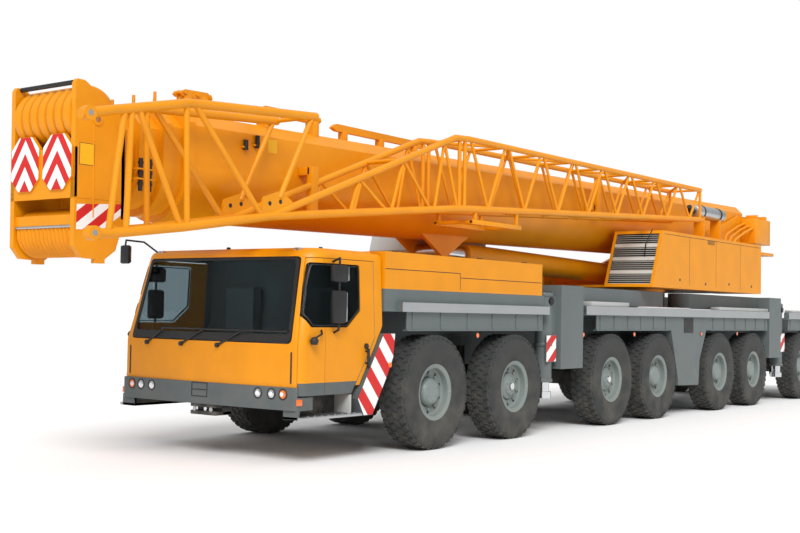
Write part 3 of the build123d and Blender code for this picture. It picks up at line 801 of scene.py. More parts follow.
def combine(base: bpy.types.Mesh, *steps: tuple[str, bpy.types.Mesh]) -> bpy.types.Mesh:
    """Cut, keep or join solids in turn.

    Args:
        base: The solid to start from.
        steps: Pairs of "DIFFERENCE", "INTERSECT" or "UNION", and the solid to apply.

    Returns:
        The resulting solid's mesh.
    """
    obj = bpy.data.objects.new("work", base)
    tools = []
    bpy.context.scene.collection.objects.link(obj)
    for operation, mesh in steps:
        tool = bpy.data.objects.new("tool", mesh)
        bpy.context.scene.collection.objects.link(tool)
        tools.append(tool)
        cut = obj.modifiers.new("cut", "BOOLEAN")
        cut.operation, cut.object, cut.solver = operation, tool, "EXACT"
    graph = bpy.context.evaluated_depsgraph_get()
    made = bpy.data.meshes.new_from_object(obj.evaluated_get(graph))
    for used in (obj, *tools):
        bpy.data.objects.remove(used)
    return made


# --- Driver's cab ---
@dataclass(frozen=True)
class CabForm:
    """Outer form of the driver's cab: level sides up to the belt, then leaning in to a rounder roof."""

    rear: float = 6.56
    front: float = 7.99
    half_w: float = 1.40
    bottom: float = 0.82
    belt: float = 1.26
    roof: float = 2.29
    roof_front: float = 7.765
    roof_half_w: float = 1.35
    bow: float = 0.035
    corner: float = 0.11
    roof_corner: float = 0.25
    wall: float = 0.04
    arch: tuple[Flat, Flat] = ((6.612, 1.39), (7.062, 0.67))

    def share(self, z: float) -> float:
        """Return how far up the leaning part a height is, from 0 at the belt to 1 at the roof."""
        return max(0.0, (z - self.belt) / (self.roof - self.belt))

    def half(self, z: float) -> float:
        """Return the half width of the sides at a height."""
        return self.half_w + self.share(z) * (self.roof_half_w - self.half_w)

    def nose(self, z: float, y: float) -> float:
        """Return the x of the front panel at a height and a place across.

        Args:
            z: The height.
            y: The place across.

        Returns:
            The x.
        """
        t = self.share(z)
        reach = self.half(z) - self.corner - t * (self.roof_corner - self.corner)
        tip = self.front + t * (self.roof_front - self.front)
        return tip - self.bow * (y / reach) ** 2

    def plan(self, z: float, off: float) -> list[Point]:
        """Return the outline at a height, from the left rear round the front to the right rear.

        Args:
            z: The height.
            off: How far it is moved in.

        Returns:
            The points of the outline.
        """
        t, half = self.share(z), self.half(z) - off
        r = max(0.02, self.corner + t * (self.roof_corner - self.corner) - off)
        nose = self.front + t * (self.roof_front - self.front) - self.bow - off
        left = [(self.rear + off, half)]
        left += [(nose - r + r * math.sin(a), half - r + r * math.cos(a)) for a in
                 (k * math.pi / 14 for k in range(8))]
        left += [(nose + self.bow * (1 - (1 - k / 7) ** 2), (half - r) * (1 - k / 7)) for k in range(1, 7)]
        return [(x, y, z) for x, y in (*left, (nose + self.bow, 0.0), *((x, -y) for x, y in left[::-1]))]

    def body(self, off: float, low: float, high: float, crown: Sequence[Flat] = ()) -> bpy.types.Mesh:
        """Return the closed form moved in by off, cut at the rear by the wheel arch.

        Args:
            off: How far every side is moved in.
            low: The bottom's height.
            high: The top's height.
            crown: More levels above the top, as (height, extra inset).

        Returns:
            The solid's mesh.
        """
        levels = [(low, 0.0), (self.belt, 0.0), (high, 0.0), *crown]
        whole = closed_mesh([self.plan(z, off + extra) for z, extra in levels])
        (top_x, top_z), (foot_x, foot_z) = self.arch
        slope = (top_x - foot_x) / (top_z - foot_z)
        low_x = top_x + (low - 0.02 - top_z) * slope
        cut = [(6.2, top_z + 0.09), (top_x - 0.056 + off, top_z + 0.09), (top_x + off, top_z),
               (low_x + off, low - 0.02), (6.2, low - 0.02)]
        return combine(whole, ("DIFFERENCE", side_solid(cut, -1.6, 1.6)))

    def skin(self, outer: float, inner: float, low: float = 0.70) -> bpy.types.Mesh:
        """Return the layer between two insets, open at the bottom."""
        whole, hollow = self.body(outer, low, self.roof), self.body(inner, low - 0.02, self.roof - inner)
        return combine(whole, ("DIFFERENCE", hollow))


@dataclass
class DriverCab:
    """Cab shell with its windscreen, and the doors that hang on it."""

    form: CabForm = CabForm()
    split_x: float = 7.56
    door: tuple[Flat, ...] = ((7.10, 0.725), (7.943, 0.725), (7.943, 1.26), (7.725, 2.205), (6.70, 2.205),
                              (6.70, 1.33))
    depth: tuple[Flat, ...] = ((1.304, 0.70), (1.304, 1.27), (1.224, 2.215), (1.6, 2.215), (1.6, 0.70))
    window: tuple[Flat, ...] = DOOR_WINDOW
    screen: tuple[Flat, ...] = ((-1.262, 1.275), (1.262, 1.275), (1.19, 2.215), (-1.19, 2.215))
    gap: float = 0.007
    beacons: tuple[Flat, ...] = ((7.45, -0.2), (7.15, 0.95))
    wipers: tuple[tuple[float, float, Flat], ...] = ((-0.96, -0.67, (-0.74, -0.07)),
                                                     (-0.37, -0.02, (-0.06, 0.60)),
                                                     (0.21, 0.58, (0.56, 1.20)))

    def zone(self, gap: float, x0: float, x1: float) -> bpy.types.Mesh:
        """Return the block that holds the left door's outline between two x planes.

        Args:
            gap: The clearance left all round.
            x0: The first x plane.
            x1: The second x plane.

        Returns:
            The block's mesh.
        """
        outline = clip(clip(shrink(self.door, gap), 1, 0, x1), -1, 0, -x0)
        depth = [(y + gap, z) for y, z in self.depth]
        return combine(side_solid(outline, 1.1, 1.6), ("INTERSECT", front_solid(depth, 6.6, 8.1)))

    def build(self) -> None:
        """Build the shell, the glass and both doors."""
        skin = self.form.skin(0, self.form.wall)
        pane = self.form.skin(0.014, 0.020)
        ring = self.form.skin(-0.004, 0.012)
        band = self.form.skin(-0.0015, 0.003)
        self.shell()
        self.screen_glass()
        leaf_end, quarter_start = self.split_x - self.gap / 2, self.split_x + self.gap / 2
        opening = side_solid(rounded(self.window, 0.038), 1.0, 1.7)
        for name, side in SIDES:
            door = Piece(f"door_leaf_{name}", f"door_{name}", "yellow_paint")
            quarter = Piece(f"front_quarter_{name}", "carrier", "yellow_paint")
            for piece, x0, x1 in ((door, 6.6, leaf_end), (quarter, quarter_start, 8.0)):
                zone = self.zone(self.gap, x0, x1)
                parts = (
                    (combine(skin, ("INTERSECT", zone), ("DIFFERENCE", opening)), YELLOW),
                    (combine(pane, ("INTERSECT", zone), ("INTERSECT", opening)), DOOR_GLASS),
                    (combine(ring, ("INTERSECT", zone),
                             ("INTERSECT", side_solid(rounded(shrink(self.window, -0.016), 0.05), 1.0, 1.7)),
                             ("DIFFERENCE", side_solid(rounded(shrink(self.window, 0.026), 0.03), 0.9, 1.8))),
                     TRIM),
                    (combine(band, ("INTERSECT", zone), ("INTERSECT", side_solid(
                        [(6.5, 0.6), (8.1, 0.6), (8.1, 0.865), (6.5, 0.865)], 1.0, 1.7))), BUMPER_GREY))
                for mesh, finish in parts:
                    piece.take(mesh, finish, side)
            self.fittings(door, side)
            self.near_mirror(quarter, side)
            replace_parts(door.finish(), f"door_{name}")
            quarter.finish()

    def shell(self) -> None:
        """Build the shell with its raised roof panel, its door openings and its lining."""
        f = self.form
        crown = [(f.roof - 0.02, 0.010), (f.roof, 0.032), (f.roof, 0.075), (f.roof + 0.022, 0.088)]
        zone = self.zone(0, 6.6, 8.1)
        other = zone.copy()
        other.transform(Matrix.Scale(-1, 4, (0, 1, 0)))
        other.flip_normals()
        made = combine(f.body(0, f.bottom, f.roof - 0.055, crown),
                       ("DIFFERENCE", f.body(f.wall, f.bottom + 0.06, f.roof - f.wall)),
                       ("DIFFERENCE", zone), ("DIFFERENCE", other),
                       ("DIFFERENCE", front_solid(rounded(self.screen, 0.055), 7.3, 8.2)))
        piece = Piece("cab_body", "carrier", "yellow_paint")
        piece.take(made, YELLOW, 1, lambda c, n: n.dot(c - Vector((7.2, 0, 1.6))) < 0, INTERIOR)
        self.front_details(piece)
        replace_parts(piece.finish(), "cab_shell")

    def screen_glass(self) -> None:
        """Build the windscreen with its black border and its three wipers."""
        piece = Piece("windscreen", "carrier", "glass")
        glass = combine(self.form.skin(0.012, 0.020),
                        ("INTERSECT", front_solid(rounded(shrink(self.screen, 0.001), 0.055), 7.3, 8.2)))
        piece.take(glass, GLASS)
        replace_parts(piece.finish(), "cab_glass")
        trim = Piece("windscreen_frame", "carrier", "trim")
        clear = ((-1.205, 1.375), (1.205, 1.375), (1.14, 2.178), (-1.14, 2.178))
        trim.take(combine(self.form.skin(-0.003, 0.0115),
                          ("INTERSECT", front_solid(rounded(shrink(self.screen, -0.012), 0.06), 7.3, 8.2)),
                          ("DIFFERENCE", front_solid(rounded(clear, 0.05), 7.2, 8.3))), TRIM)
        for pivot, tip, blade in self.wipers:
            foot = Vector((self.form.nose(1.235, pivot) + 0.012, pivot, 1.235))
            end = Vector((self.form.nose(1.41, tip) + 0.022, tip, 1.41))
            trim.rod(foot, end, 0.014, TRIM, 10, 0.009)
            trim.rod(foot - Vector((0.03, 0, 0)), foot + Vector((0.018, 0, 0)), 0.026, TRIM, 14)
            ends = [Vector((self.form.nose(1.405, y) + 0.016, y, 1.405)) for y in blade]
            trim.rod(ends[0], ends[1], 0.011, TRIM, 8)
        trim.finish()

    def front_details(self, piece: Piece) -> None:
        """Add the seam slots, the roof's marker lamps and the roof beacon bases.

        Args:
            piece: The piece that gathers it.
        """
        for side in (1, -1):
            y = side * 1.27
            x = self.form.nose(1.0, y)
            piece.rod((x - 0.004, y, 0.86), (x - 0.004, y, 1.19), 0.012, TRIM, 8)
            corner = self.form.nose(2.27, side * 1.08)
            piece.block((corner - 0.10, side * 1.08 - 0.04, 2.262),
                        (corner - 0.03, side * 1.08 + 0.04, 2.312),
                        CHROME, 0.01)
        for x, y in self.beacons:
            piece.rod((x, y, 2.30), (x, y, 2.35), 0.035, TRIM, 16, 0.02)

    def fittings(self, piece: Piece, side: int) -> None:
        """Add a door's pull handle and its two mirrors.

        Args:
            piece: The door being gathered.
            side: 1 on the left, -1 on the right.
        """
        y = side * self.form.half_w
        for z in (1.06, 1.19):
            piece.rod((6.86, y - side * 0.005, z), (6.86, y + side * 0.038, z), 0.012, TRIM, 10)
        piece.rod((6.86, y + side * 0.038, 1.03), (6.86, y + side * 0.038, 1.22), 0.016, TRIM, 12)
        piece.rod((6.86, y - side * 0.002, 1.245), (6.86, y + side * 0.014, 1.245), 0.034, TRIM, 20)
        arm_y, arm_x = side * 1.462, 7.42
        piece.path([(arm_x, side * 1.365, 2.17), (arm_x, arm_y, 2.205), (arm_x, arm_y, 1.43),
                    (arm_x, side * 1.398, 1.40)], 0.013, TRIM)
        for x0, x1, z0, z1 in ((7.29, 7.545, 1.945, 2.13), (7.31, 7.535, 1.50, 1.855)):
            piece.block((x0, side * 1.425, z0), (x1, side * 1.4975, z1), TRIM, 0.028)
            piece.block((x0 - 0.002, side * 1.434, z0 + 0.02), (x0 + 0.01, side * 1.489, z1 - 0.02), CHROME,
                        0.002)

    def near_mirror(self, piece: Piece, side: int) -> None:
        """Add the small round mirror that hangs below the window's front corner.

        Args:
            piece: The piece that gathers it.
            side: 1 on the left, -1 on the right.
        """
        arm = [(7.62, side * 1.39, 1.425), (7.66, side * 1.435, 1.385), (7.78, side * 1.45, 1.345)]
        piece.path(arm, 0.011, TRIM)
        piece.turned((7.80, side * 1.45, 1.315), (0, 0, 1),
                     [(-0.045, 0), (-0.04, 0.035), (0.0, 0.048), (0.032, 0.03), (0.045, 0)], TRIM, 20)


BUMPER_FRONT = 8.012
LAMP_Y = (0.84, 1.03, 1.19)
LAMP_Z = 0.745


def bumper_x(y: float) -> float:
    """Return the x of the bowed bumper front at a place across."""
    return BUMPER_FRONT - 0.03 * (y / 1.30) ** 2


@dataclass
class Lamps:
    """Front lamps in the bumper, tail lamps, and the mirror on its arm at the right roof corner."""

    radius: float = 0.045
    tail: tuple[tuple[float, float, Finish], ...] = ((0.95, 1.03, RED_LENS), (1.035, 1.115, ORANGE_LENS),
                                                     (1.12, 1.20, RED_LENS))
    arm: tuple[Point, ...] = ((7.56, -1.23, 2.27), (7.72, -1.36, 2.42), (7.96, -1.40, 2.43),
                              (7.97, -1.40, 2.36))

    def build(self) -> None:
        """Build the lamps, then the roof mirror."""
        piece = Piece("lamp_set", "carrier", "lamp")
        for side in (1, -1):
            for y in LAMP_Y:
                x, outer = bumper_x(y), y == LAMP_Y[-1]
                dome = [(-0.02, 0), (-0.02, self.radius), (0.004, self.radius), (0.010, 0.03), (0.012, 0)]
                piece.turned((x, side * y, LAMP_Z), (1, 0, 0), dome, ORANGE_LENS if outer else CHROME, 28)
                inner = [(0.009, 0), (0.009, 0.026), (0.014, 0.020), (0.016, 0)]
                piece.turned((x, side * (y - 0.008 * outer), LAMP_Z), (1, 0, 0), inner, LENS, 24)
            for y0, y1, finish in self.tail:
                low, high = sorted((side * y0, side * y1))
                piece.block((-10.797, low, 1.222), (-10.77, high, 1.328), finish, 0.006)
        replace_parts(piece.finish(), "lamps")
        mirror = Piece("roof_mirror", "carrier", "trim")
        mirror.path(self.arm, 0.011, TRIM)
        mirror.block((7.935, -1.475, 2.15), (7.99, -1.325, 2.37), TRIM, 0.022)
        mirror.block((7.927, -1.462, 2.165), (7.937, -1.338, 2.355), CHROME, 0.002)
        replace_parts(mirror.finish(), "mirrors")


@dataclass
class Bumper:
    """Front bumper, the steps below the doors and the flanks beside the first wheels."""

    front: float = BUMPER_FRONT
    low: float = 0.578
    high: float = 0.82
    back: float = 7.73
    half_w: float = 1.384
    step_z: float = 0.48
    step_y: float = 1.18

    def plan(self) -> list[Flat]:
        """Return the bumper's outline from above, bowed across the front.

        Returns:
            The outline as (x, y).
        """
        bow = [(bumper_x(y), y) for y in (1.30 - 2.60 * k / 14 for k in range(15))]
        corner = [(self.front - 0.10 + 0.07 * math.sin(a), 1.314 + 0.07 * math.cos(a)) for a in
                  (k * math.pi / 12 for k in range(6))]
        left = [(self.back, self.half_w), *corner]
        return [*left, *bow, *((x, -y) for x, y in left[::-1])]

    def build(self) -> None:
        """Build the bumper as one piece."""
        piece = Piece("front_bumper", "carrier", "grey_paint")
        levels = (self.low, self.low + 0.02, self.high)
        band = closed_mesh([[(x, y, z) for x, y in self.plan()] for z in levels])
        notch = ((7.6, 1.296), (7.955, 1.296), (7.955, 1.6), (7.6, 1.6))
        cuts = [("DIFFERENCE", closed_mesh([[(x, s * y, z) for x, y in notch] for z in (0.716, 0.9)]))
                for s in (1, -1)]
        piece.take(combine(band, *cuts), BUMPER_GREY)
        for side in (1, -1):
            self.step(piece, side)
            for y in LAMP_Y:
                piece.turned((bumper_x(y) - 0.004, side * y, LAMP_Z), (1, 0, 0),
                             [(0, 0.044), (0.012, 0.047), (0.014, 0.053), (0.008, 0.060), (0, 0.060)], TRIM,
                             24, True)
            piece.block((7.90, side * 1.355, 0.63), (7.965, side * 1.392, 0.70), ORANGE_LENS, 0.008)
        for y in (-0.16, 0.08):
            piece.rod((self.front + 0.001, y, 0.66), (self.front + 0.001, y, 0.81), 0.005, TRIM, 8)
        for z in (0.66, 0.735, 0.81):
            piece.rod((self.front + 0.0005, -0.16, z), (self.front + 0.0005, 0.08, z), 0.005, TRIM, 8)
        # towing jaw with its pin
        for z0, z1 in ((0.455, 0.50), (0.54, 0.585)):
            piece.block((7.74, -0.20, z0), (7.99, 0.20, z1), DARK, 0.008)
        piece.block((7.74, -0.20, 0.455), (7.88, 0.20, 0.585), DARK, 0.004)
        piece.rod((7.945, 0, 0.45), (7.945, 0, 0.60), 0.022, CHROME, 16)
        for y in (-0.13, 0.13):
            piece.rod((7.985, y, 0.52), (7.996, y, 0.52), 0.026, ALUMINIUM, 12)
        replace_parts(piece.finish(), "bumper")

    def step(self, piece: Piece, side: int) -> None:
        """Add the step well below one door, with the striped plate's carrier behind it.

        Args:
            piece: The piece that gathers it.
            side: 1 on the left, -1 on the right.
        """
        inner, outer = side * (self.step_y - 0.012), side * 1.43
        wells = (((7.00, 7.96), (self.step_z, self.high), inner, side * self.step_y, DARK),
                 ((6.80, 7.96), (self.step_z, 0.514), inner, outer, ALUMINIUM),
                 ((7.93, 7.96), (self.step_z, 0.62), inner, side * self.half_w, BUMPER_GREY),
                 ((7.10, 7.13), (0.50, 0.72), inner, side * 1.40, PALE_GREY))
        for (x0, x1), (z0, z1), y0, y1, finish in wells:
            piece.block((x0, min(y0, y1), z0), (x1, max(y0, y1), z1), finish, 0.004)
        for k in range(9):
            x = 6.95 + k * 0.11
            near, far = sorted((side * 1.20, side * 1.42))
            piece.block((x, near, 0.514), (x + 0.02, far, 0.522), ALUMINIUM)
        flank = [(6.59, 1.39), (7.04, 0.67), (6.93, 0.49), (6.916, 0.49), (7.024, 0.666), (6.576, 1.39)]
        plate = [(6.59, 1.39), (6.37, 1.39), (6.40, 1.12), (6.49, 0.94), (6.77, 0.48), (6.93, 0.48),
                 (7.04, 0.67)]
        piece.take(side_solid(flank, self.step_y, 1.43), BUMPER_GREY, side)
        piece.take(side_solid(plate, 1.424, 1.4355), BUMPER_GREY, side)


# --- Lattice jib and boom head ---
def height_along(route: Sequence[Flat], x: float) -> float:
    """Return the height of a route of (x, z) points at x, by straight runs.

    Args:
        route: The points of the route.
        x: The place along.

    Returns:
        The height.
    """
    stations = sorted(route)
    for (xa, za), (xb, zb) in zip(stations, stations[1:]):
        if xa <= x <= xb:
            return za + (zb - za) * (x - xa) / (xb - xa)
    return stations[0][1] if x < stations[0][0] else stations[-1][1]


@dataclass
class Jib:
    """Lattice jib stowed on the boom's left side: adapter, taper behind its gusset, parallel part."""

    sides: Flat = (0.68, 1.25)
    chord_r: float = 0.046
    lace_r: float = 0.021
    brace_r: float = 0.030
    panels: int = 8
    taper_end: float = 4.63
    tail: float = -2.80
    inner_end: float = 9.85
    front_top: tuple[Flat, ...] = ((10.745, 3.311), (10.42, 3.39), (9.46, 3.60), (7.62, 3.73))
    rear_top: tuple[Flat, ...] = ((8.30, 2.60), (4.94, 3.85), (4.63, 3.87), (-2.80, 3.91))
    low: tuple[Flat, ...] = ((10.64, 2.275), (10.40, 2.285), (9.48, 2.41), (8.30, 2.60), (7.05, 2.73),
                             (4.84, 2.96), (-2.84, 3.388))
    adapter: tuple[tuple[Flat, Flat], ...] = (
        ((10.17, 3.443), (10.20, 2.30)), ((9.50, 3.592), (9.46, 2.415)), ((10.09, 3.46), (9.54, 2.402)),
        ((10.25, 3.43), (10.40, 2.285)), ((8.42, 2.58), (9.40, 3.61)), ((8.17, 2.80), (7.68, 3.728)))
    taper: tuple[tuple[float, float], ...] = ((7.05, 6.86), (6.29, 6.03), (5.42, 5.18), (4.84, 4.75))
    crossings: tuple[Flat, ...] = ((9.40, 3.604), (7.64, 3.729), (9.42, 2.423), (8.35, 2.592), (7.08, 2.727),
                                   (6.29, 2.808), (6.03, 3.444))
    head_braces: tuple[tuple[Flat, Flat], ...] = (((10.17, 3.443), (9.60, 3.57)),
                                                  ((10.20, 2.30), (9.60, 2.40)))

    def build(self) -> None:
        """Build the whole jib as one piece."""
        piece = Piece("jib_lattice", "boom", "yellow_paint")
        for y in self.sides:
            for route, radius in ((self.low, self.chord_r), (self.front_top, self.chord_r),
                                  (self.rear_top, 0.040)):
                piece.path([(x, y, z) for x, z in self.trimmed(route, y)], radius, YELLOW, 14)
            self.plane(piece, y)
        self.crosswise(piece)
        self.carriers(piece)
        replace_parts(piece.finish(), "lattice_jib")

    def trimmed(self, route: tuple[Flat, ...], y: float) -> list[Flat]:
        """Return a route of the side plane at y; the boom side's plane ends behind the boom's head.

        Args:
            route: The points of the route.
            y: The y of the side plane.

        Returns:
            The route, cut short on the boom side.
        """
        if y > self.sides[0] or route[0][0] < self.inner_end:
            return list(route)
        kept = [point for point in route if point[0] < self.inner_end]
        return [(self.inner_end, height_along(route, self.inner_end)), *kept]

    def plane(self, piece: Piece, y: float) -> None:
        """Add the lacing, gusset and pins of one side plane.

        Args:
            piece: The piece that gathers it.
            y: The y of the side plane.
        """
        step = (self.taper_end - self.tail) / self.panels
        for k in range(self.panels):
            xa, xb = self.taper_end - k * step, self.taper_end - (k + 1) * step
            foot = ((xa + xb) / 2, y, height_along(self.low, (xa + xb) / 2))
            for x, lean in ((xa, -0.04), (xb, 0.04)):
                piece.rod(foot, (x + lean, y, height_along(self.rear_top, x)), self.lace_r, YELLOW, 10)
        for (fa, top), (fb, _) in zip(self.taper[:-1], self.taper[1:]):
            peak = (top, y, height_along(self.rear_top, top))
            for foot in (fa - 0.04, fb + 0.04):
                piece.rod((foot, y, height_along(self.low, foot)), peak, self.lace_r, YELLOW, 10)
        for x in (self.taper_end + 0.09, self.taper_end + 0.21, self.tail):
            piece.rod((x, y, height_along(self.low, x)), (x, y, height_along(self.rear_top, x)),
                      self.lace_r + 0.005, YELLOW, 10)
        for (xa, za), (xb, zb) in self.adapter:
            if y == self.sides[1] or max(xa, xb) < self.inner_end:
                piece.rod((xa, y, za), (xb, y, zb), self.brace_r, YELLOW, 12)
        plate = [(8.46, 2.545), (8.42, 2.79), (8.18, 2.87), (7.96, 2.77), (8.02, 2.59)]
        piece.prism([(x, y - 0.014, z) for x, z in rounded(plate, 0.05)], (0, 0.028, 0), YELLOW)
        for x, z in ((8.08, 2.69), (8.17, 2.76), (8.33, 2.73)):
            piece.rod((x, y - 0.016, z), (x, y + 0.016, z), 0.024, DARK, 14)
        for x, z in ((10.66, 3.331), (10.58, 2.278)) if y == self.sides[1] else ():
            piece.rod((x, y - 0.045, z), (x, y + 0.045, z), 0.066, YELLOW, 20)
            piece.rod((x, y - 0.047, z), (x, y + 0.047, z), 0.028, CHROME, 14)
        piece.block((3.35, y - 0.03, 2.785), (4.55, y + 0.03, 2.845), YELLOW, 0.006)
        for x in (3.42, 4.44):
            piece.block((x, y - 0.02, 2.80), (x + 0.05, y + 0.02, height_along(self.low, x)), YELLOW, 0.004)

    def bar(self, piece: Piece, inner: Flat, outer: Flat, radius: float, flats: int) -> None:
        """Add a bar from the (x, z) point of the boom side's plane to that of the outer plane."""
        piece.rod((inner[0], self.sides[0], inner[1]), (outer[0], self.sides[1], outer[1]), radius, YELLOW,
                  flats)

    def crosswise(self, piece: Piece) -> None:
        """Add the bars and zigzags between the two side planes.

        Args:
            piece: The piece that gathers it.
        """
        step = (self.taper_end - self.tail) / self.panels
        for route in (self.rear_top, self.low):
            for k in range(self.panels + 1):
                x = self.taper_end - k * step
                z = height_along(route, x)
                self.bar(piece, (x, z), (x, z), self.lace_r, 10)
                if k < self.panels:
                    ya, yb = self.sides if k % 2 == 0 else self.sides[::-1]
                    piece.rod((x, ya, z), (x - step, yb, height_along(route, x - step)), self.lace_r, YELLOW,
                              10)
        for x, z in self.crossings:
            self.bar(piece, (x, z), (x, z), self.lace_r + 0.004, 10)
        for outer, inner in self.head_braces:
            self.bar(piece, inner, outer, self.brace_r, 12)
        for x in (3.35, 4.49):
            piece.block((x, self.sides[0] - 0.02, 2.795), (x + 0.06, self.sides[1] + 0.02, 2.84), YELLOW,
                        0.006)

    def carriers(self, piece: Piece) -> None:
        """Add the two arms that carry the jib on the boom's side.

        Args:
            piece: The piece that gathers it.
        """
        y = self.sides[0]
        for x, z_arm, z_high in ((7.0, 3.19, 3.29), (0.0, 3.34, 3.90)):
            piece.block((x - 0.06, 0.502, z_arm), (x + 0.06, y, z_arm + 0.095), YELLOW, 0.008)
            piece.block((x - 0.06, y - 0.04, height_along(self.low, x)), (x + 0.06, y + 0.04, z_high), YELLOW,
                        0.008)


@dataclass
class Boom:
    """Axis of the boom at rest, with the front section and its sheave head."""

    pivot: Flat = (-7.0, 3.403)
    slope: float = math.radians(1)
    width: float = 0.73
    height: float = 0.86
    start: float = 1.20
    end: float = 16.65
    inner_y: float = 0.44
    outer_y: float = 0.50
    sheave_s: float = 0.30
    boss_h: Flat = (0.33, -0.76)
    boss: tuple[tuple[float, float, Finish], ...] = ((0.018, 0.118, YELLOW), (0.030, 0.062, YELLOW),
                                                     (0.034, 0.03, CHROME))
    sheave_h: Flat = (0.37, -0.76)
    plate: tuple[Flat, ...] = ((-0.04, 0.43), (0.10, 0.45), (0.24, 0.55), (0.45, 0.685), (0.535, 0.69),
                               (0.56, 0.65),
                               (0.56, -0.90), (0.47, -1.01), (0.305, -1.02), (0.305, -1.06), (0.19, -1.06),
                               (0.19, -1.02), (0.06, -0.93), (-0.04, -0.64))

    def point(self, s: float, y: float, h: float) -> Point:
        """Return the point s along the boom, y across it and h above its axis."""
        return (self.pivot[0] + s * math.cos(self.slope) + h * math.sin(self.slope), y,
                self.pivot[1] - s * math.sin(self.slope) + h * math.cos(self.slope))

    def head(self, s: float, y: float, h: float) -> Point:
        """Return the point s past the section's end, y across and h above the axis."""
        return self.point(self.end + s, y, h)

    def box(self, piece: Piece, s: Flat, y: Flat, h: Flat, finish: Finish) -> None:
        """Add a block that lies square to the boom, its limits along it measured from the section's end."""
        ends = [self.head(a, y[0], b) for a, b in ((s[0], h[0]), (s[1], h[0]), (s[1], h[1]), (s[0], h[1]))]
        piece.prism(ends, (0, y[1] - y[0], 0), finish)

    def outline(self) -> list[Flat]:
        """Return the front section's outline as (y, h): chamfered shoulders above, a round belly below.

        Returns:
            Its corners in order.
        """
        w, h = self.width / 2, self.height / 2
        belly = [(w * math.cos(a), h * math.sin(a)) for a in (-k * math.pi / 24 for k in range(25))]
        return [*belly, (-w, h - 0.14), (-w + 0.14, h), (w - 0.14, h), (w, h - 0.14)]

    def build(self) -> None:
        """Build the front section with its head as one piece."""
        piece = Piece("boom_front_section", "boom_section_3", "yellow_paint")
        tube = closed_mesh([[self.point(s, y, h) for y, h in self.outline()] for s in (self.start, self.end)])
        piece.take(tube, YELLOW)
        self.box(piece, (-0.04, 0), (-self.outer_y, self.outer_y), (-0.62, 0.43), YELLOW)
        for side in (1, -1):
            edge = [self.head(s, side * self.inner_y, h) for s, h in self.plate]
            piece.prism(edge, (0, side * (self.outer_y - self.inner_y), 0), YELLOW)
            for h in self.boss_h:
                for reach, radius, finish in self.boss:
                    start, stop = (self.head(self.sheave_s, side * (self.outer_y + out), h)
                                   for out in (-0.005, reach - 0.02))
                    piece.rod(start, stop, radius, finish, 28)
            # rib down the side plate and the shut line above the lower sheaves
            piece.rod(self.head(0.34, side * 0.5005, 0.42), self.head(0.34, side * 0.5005, -0.62),
                      0.007, YELLOW, 8)
            piece.rod(self.head(0, side * 0.5, -0.44), self.head(0.555, side * 0.5, -0.44), 0.006,
                      YELLOW, 8)
        self.sheaves(piece)
        self.box(piece, (0.53, 0.56), (-self.outer_y, self.outer_y), (-0.443, 0.04), YELLOW)
        self.box(piece, (0.524, 0.536), (-0.445, 0.445), (-0.705, -0.60), YELLOW)
        piece.rod(self.head(0.535, -0.445, -0.71), self.head(0.535, 0.445, -0.71), 0.014,
                  ALUMINIUM, 12)
        piece.rod(self.head(0.49, -0.445, 0.672), self.head(0.49, 0.445, 0.672), 0.024, TRIM, 14)
        front = self.head(0.56, 0, 0)[0]
        for side in (1, -1):
            board = [(side * 0.25 + y, 3.01 + z) for y, z in octagon(0.22, 0.27, 0.121)]
            piece.take(front_solid(board, front - 0.025, front + 0.012), YELLOW)
        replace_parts(piece.finish(), "boom_section_3")

    def sheaves(self, piece: Piece) -> None:
        """Add the upper row of broad sheaves and the lower row of narrow grooved ones.

        Args:
            piece: The piece that gathers it.
        """
        upper, lower = [], []
        for k in range(7):
            c = (k - 3) * 0.125
            upper += [(c - 0.057, 0.22), (c - 0.057, 0.262), (c - 0.045, 0.284), (c - 0.02, 0.295),
                      (c + 0.02, 0.295), (c + 0.045, 0.284), (c + 0.057, 0.262), (c + 0.057, 0.22)]
        for k in range(14):
            c = (k - 6.5) * 0.06
            lower += [(c - 0.026, 0.238), (c - 0.020, 0.240), (c - 0.008, 0.222), (c + 0.008, 0.222),
                      (c + 0.020, 0.240), (c + 0.026, 0.238), (c + 0.030, 0.20)]
        for row, h in zip((upper, lower), self.sheave_h):
            ends = [(-0.438, 0), (-0.438, 0.06), *row, (0.438, 0.06), (0.438, 0)]
            piece.turned(self.head(self.sheave_s, 0, h), (0, 1, 0), ends, YELLOW, 56)


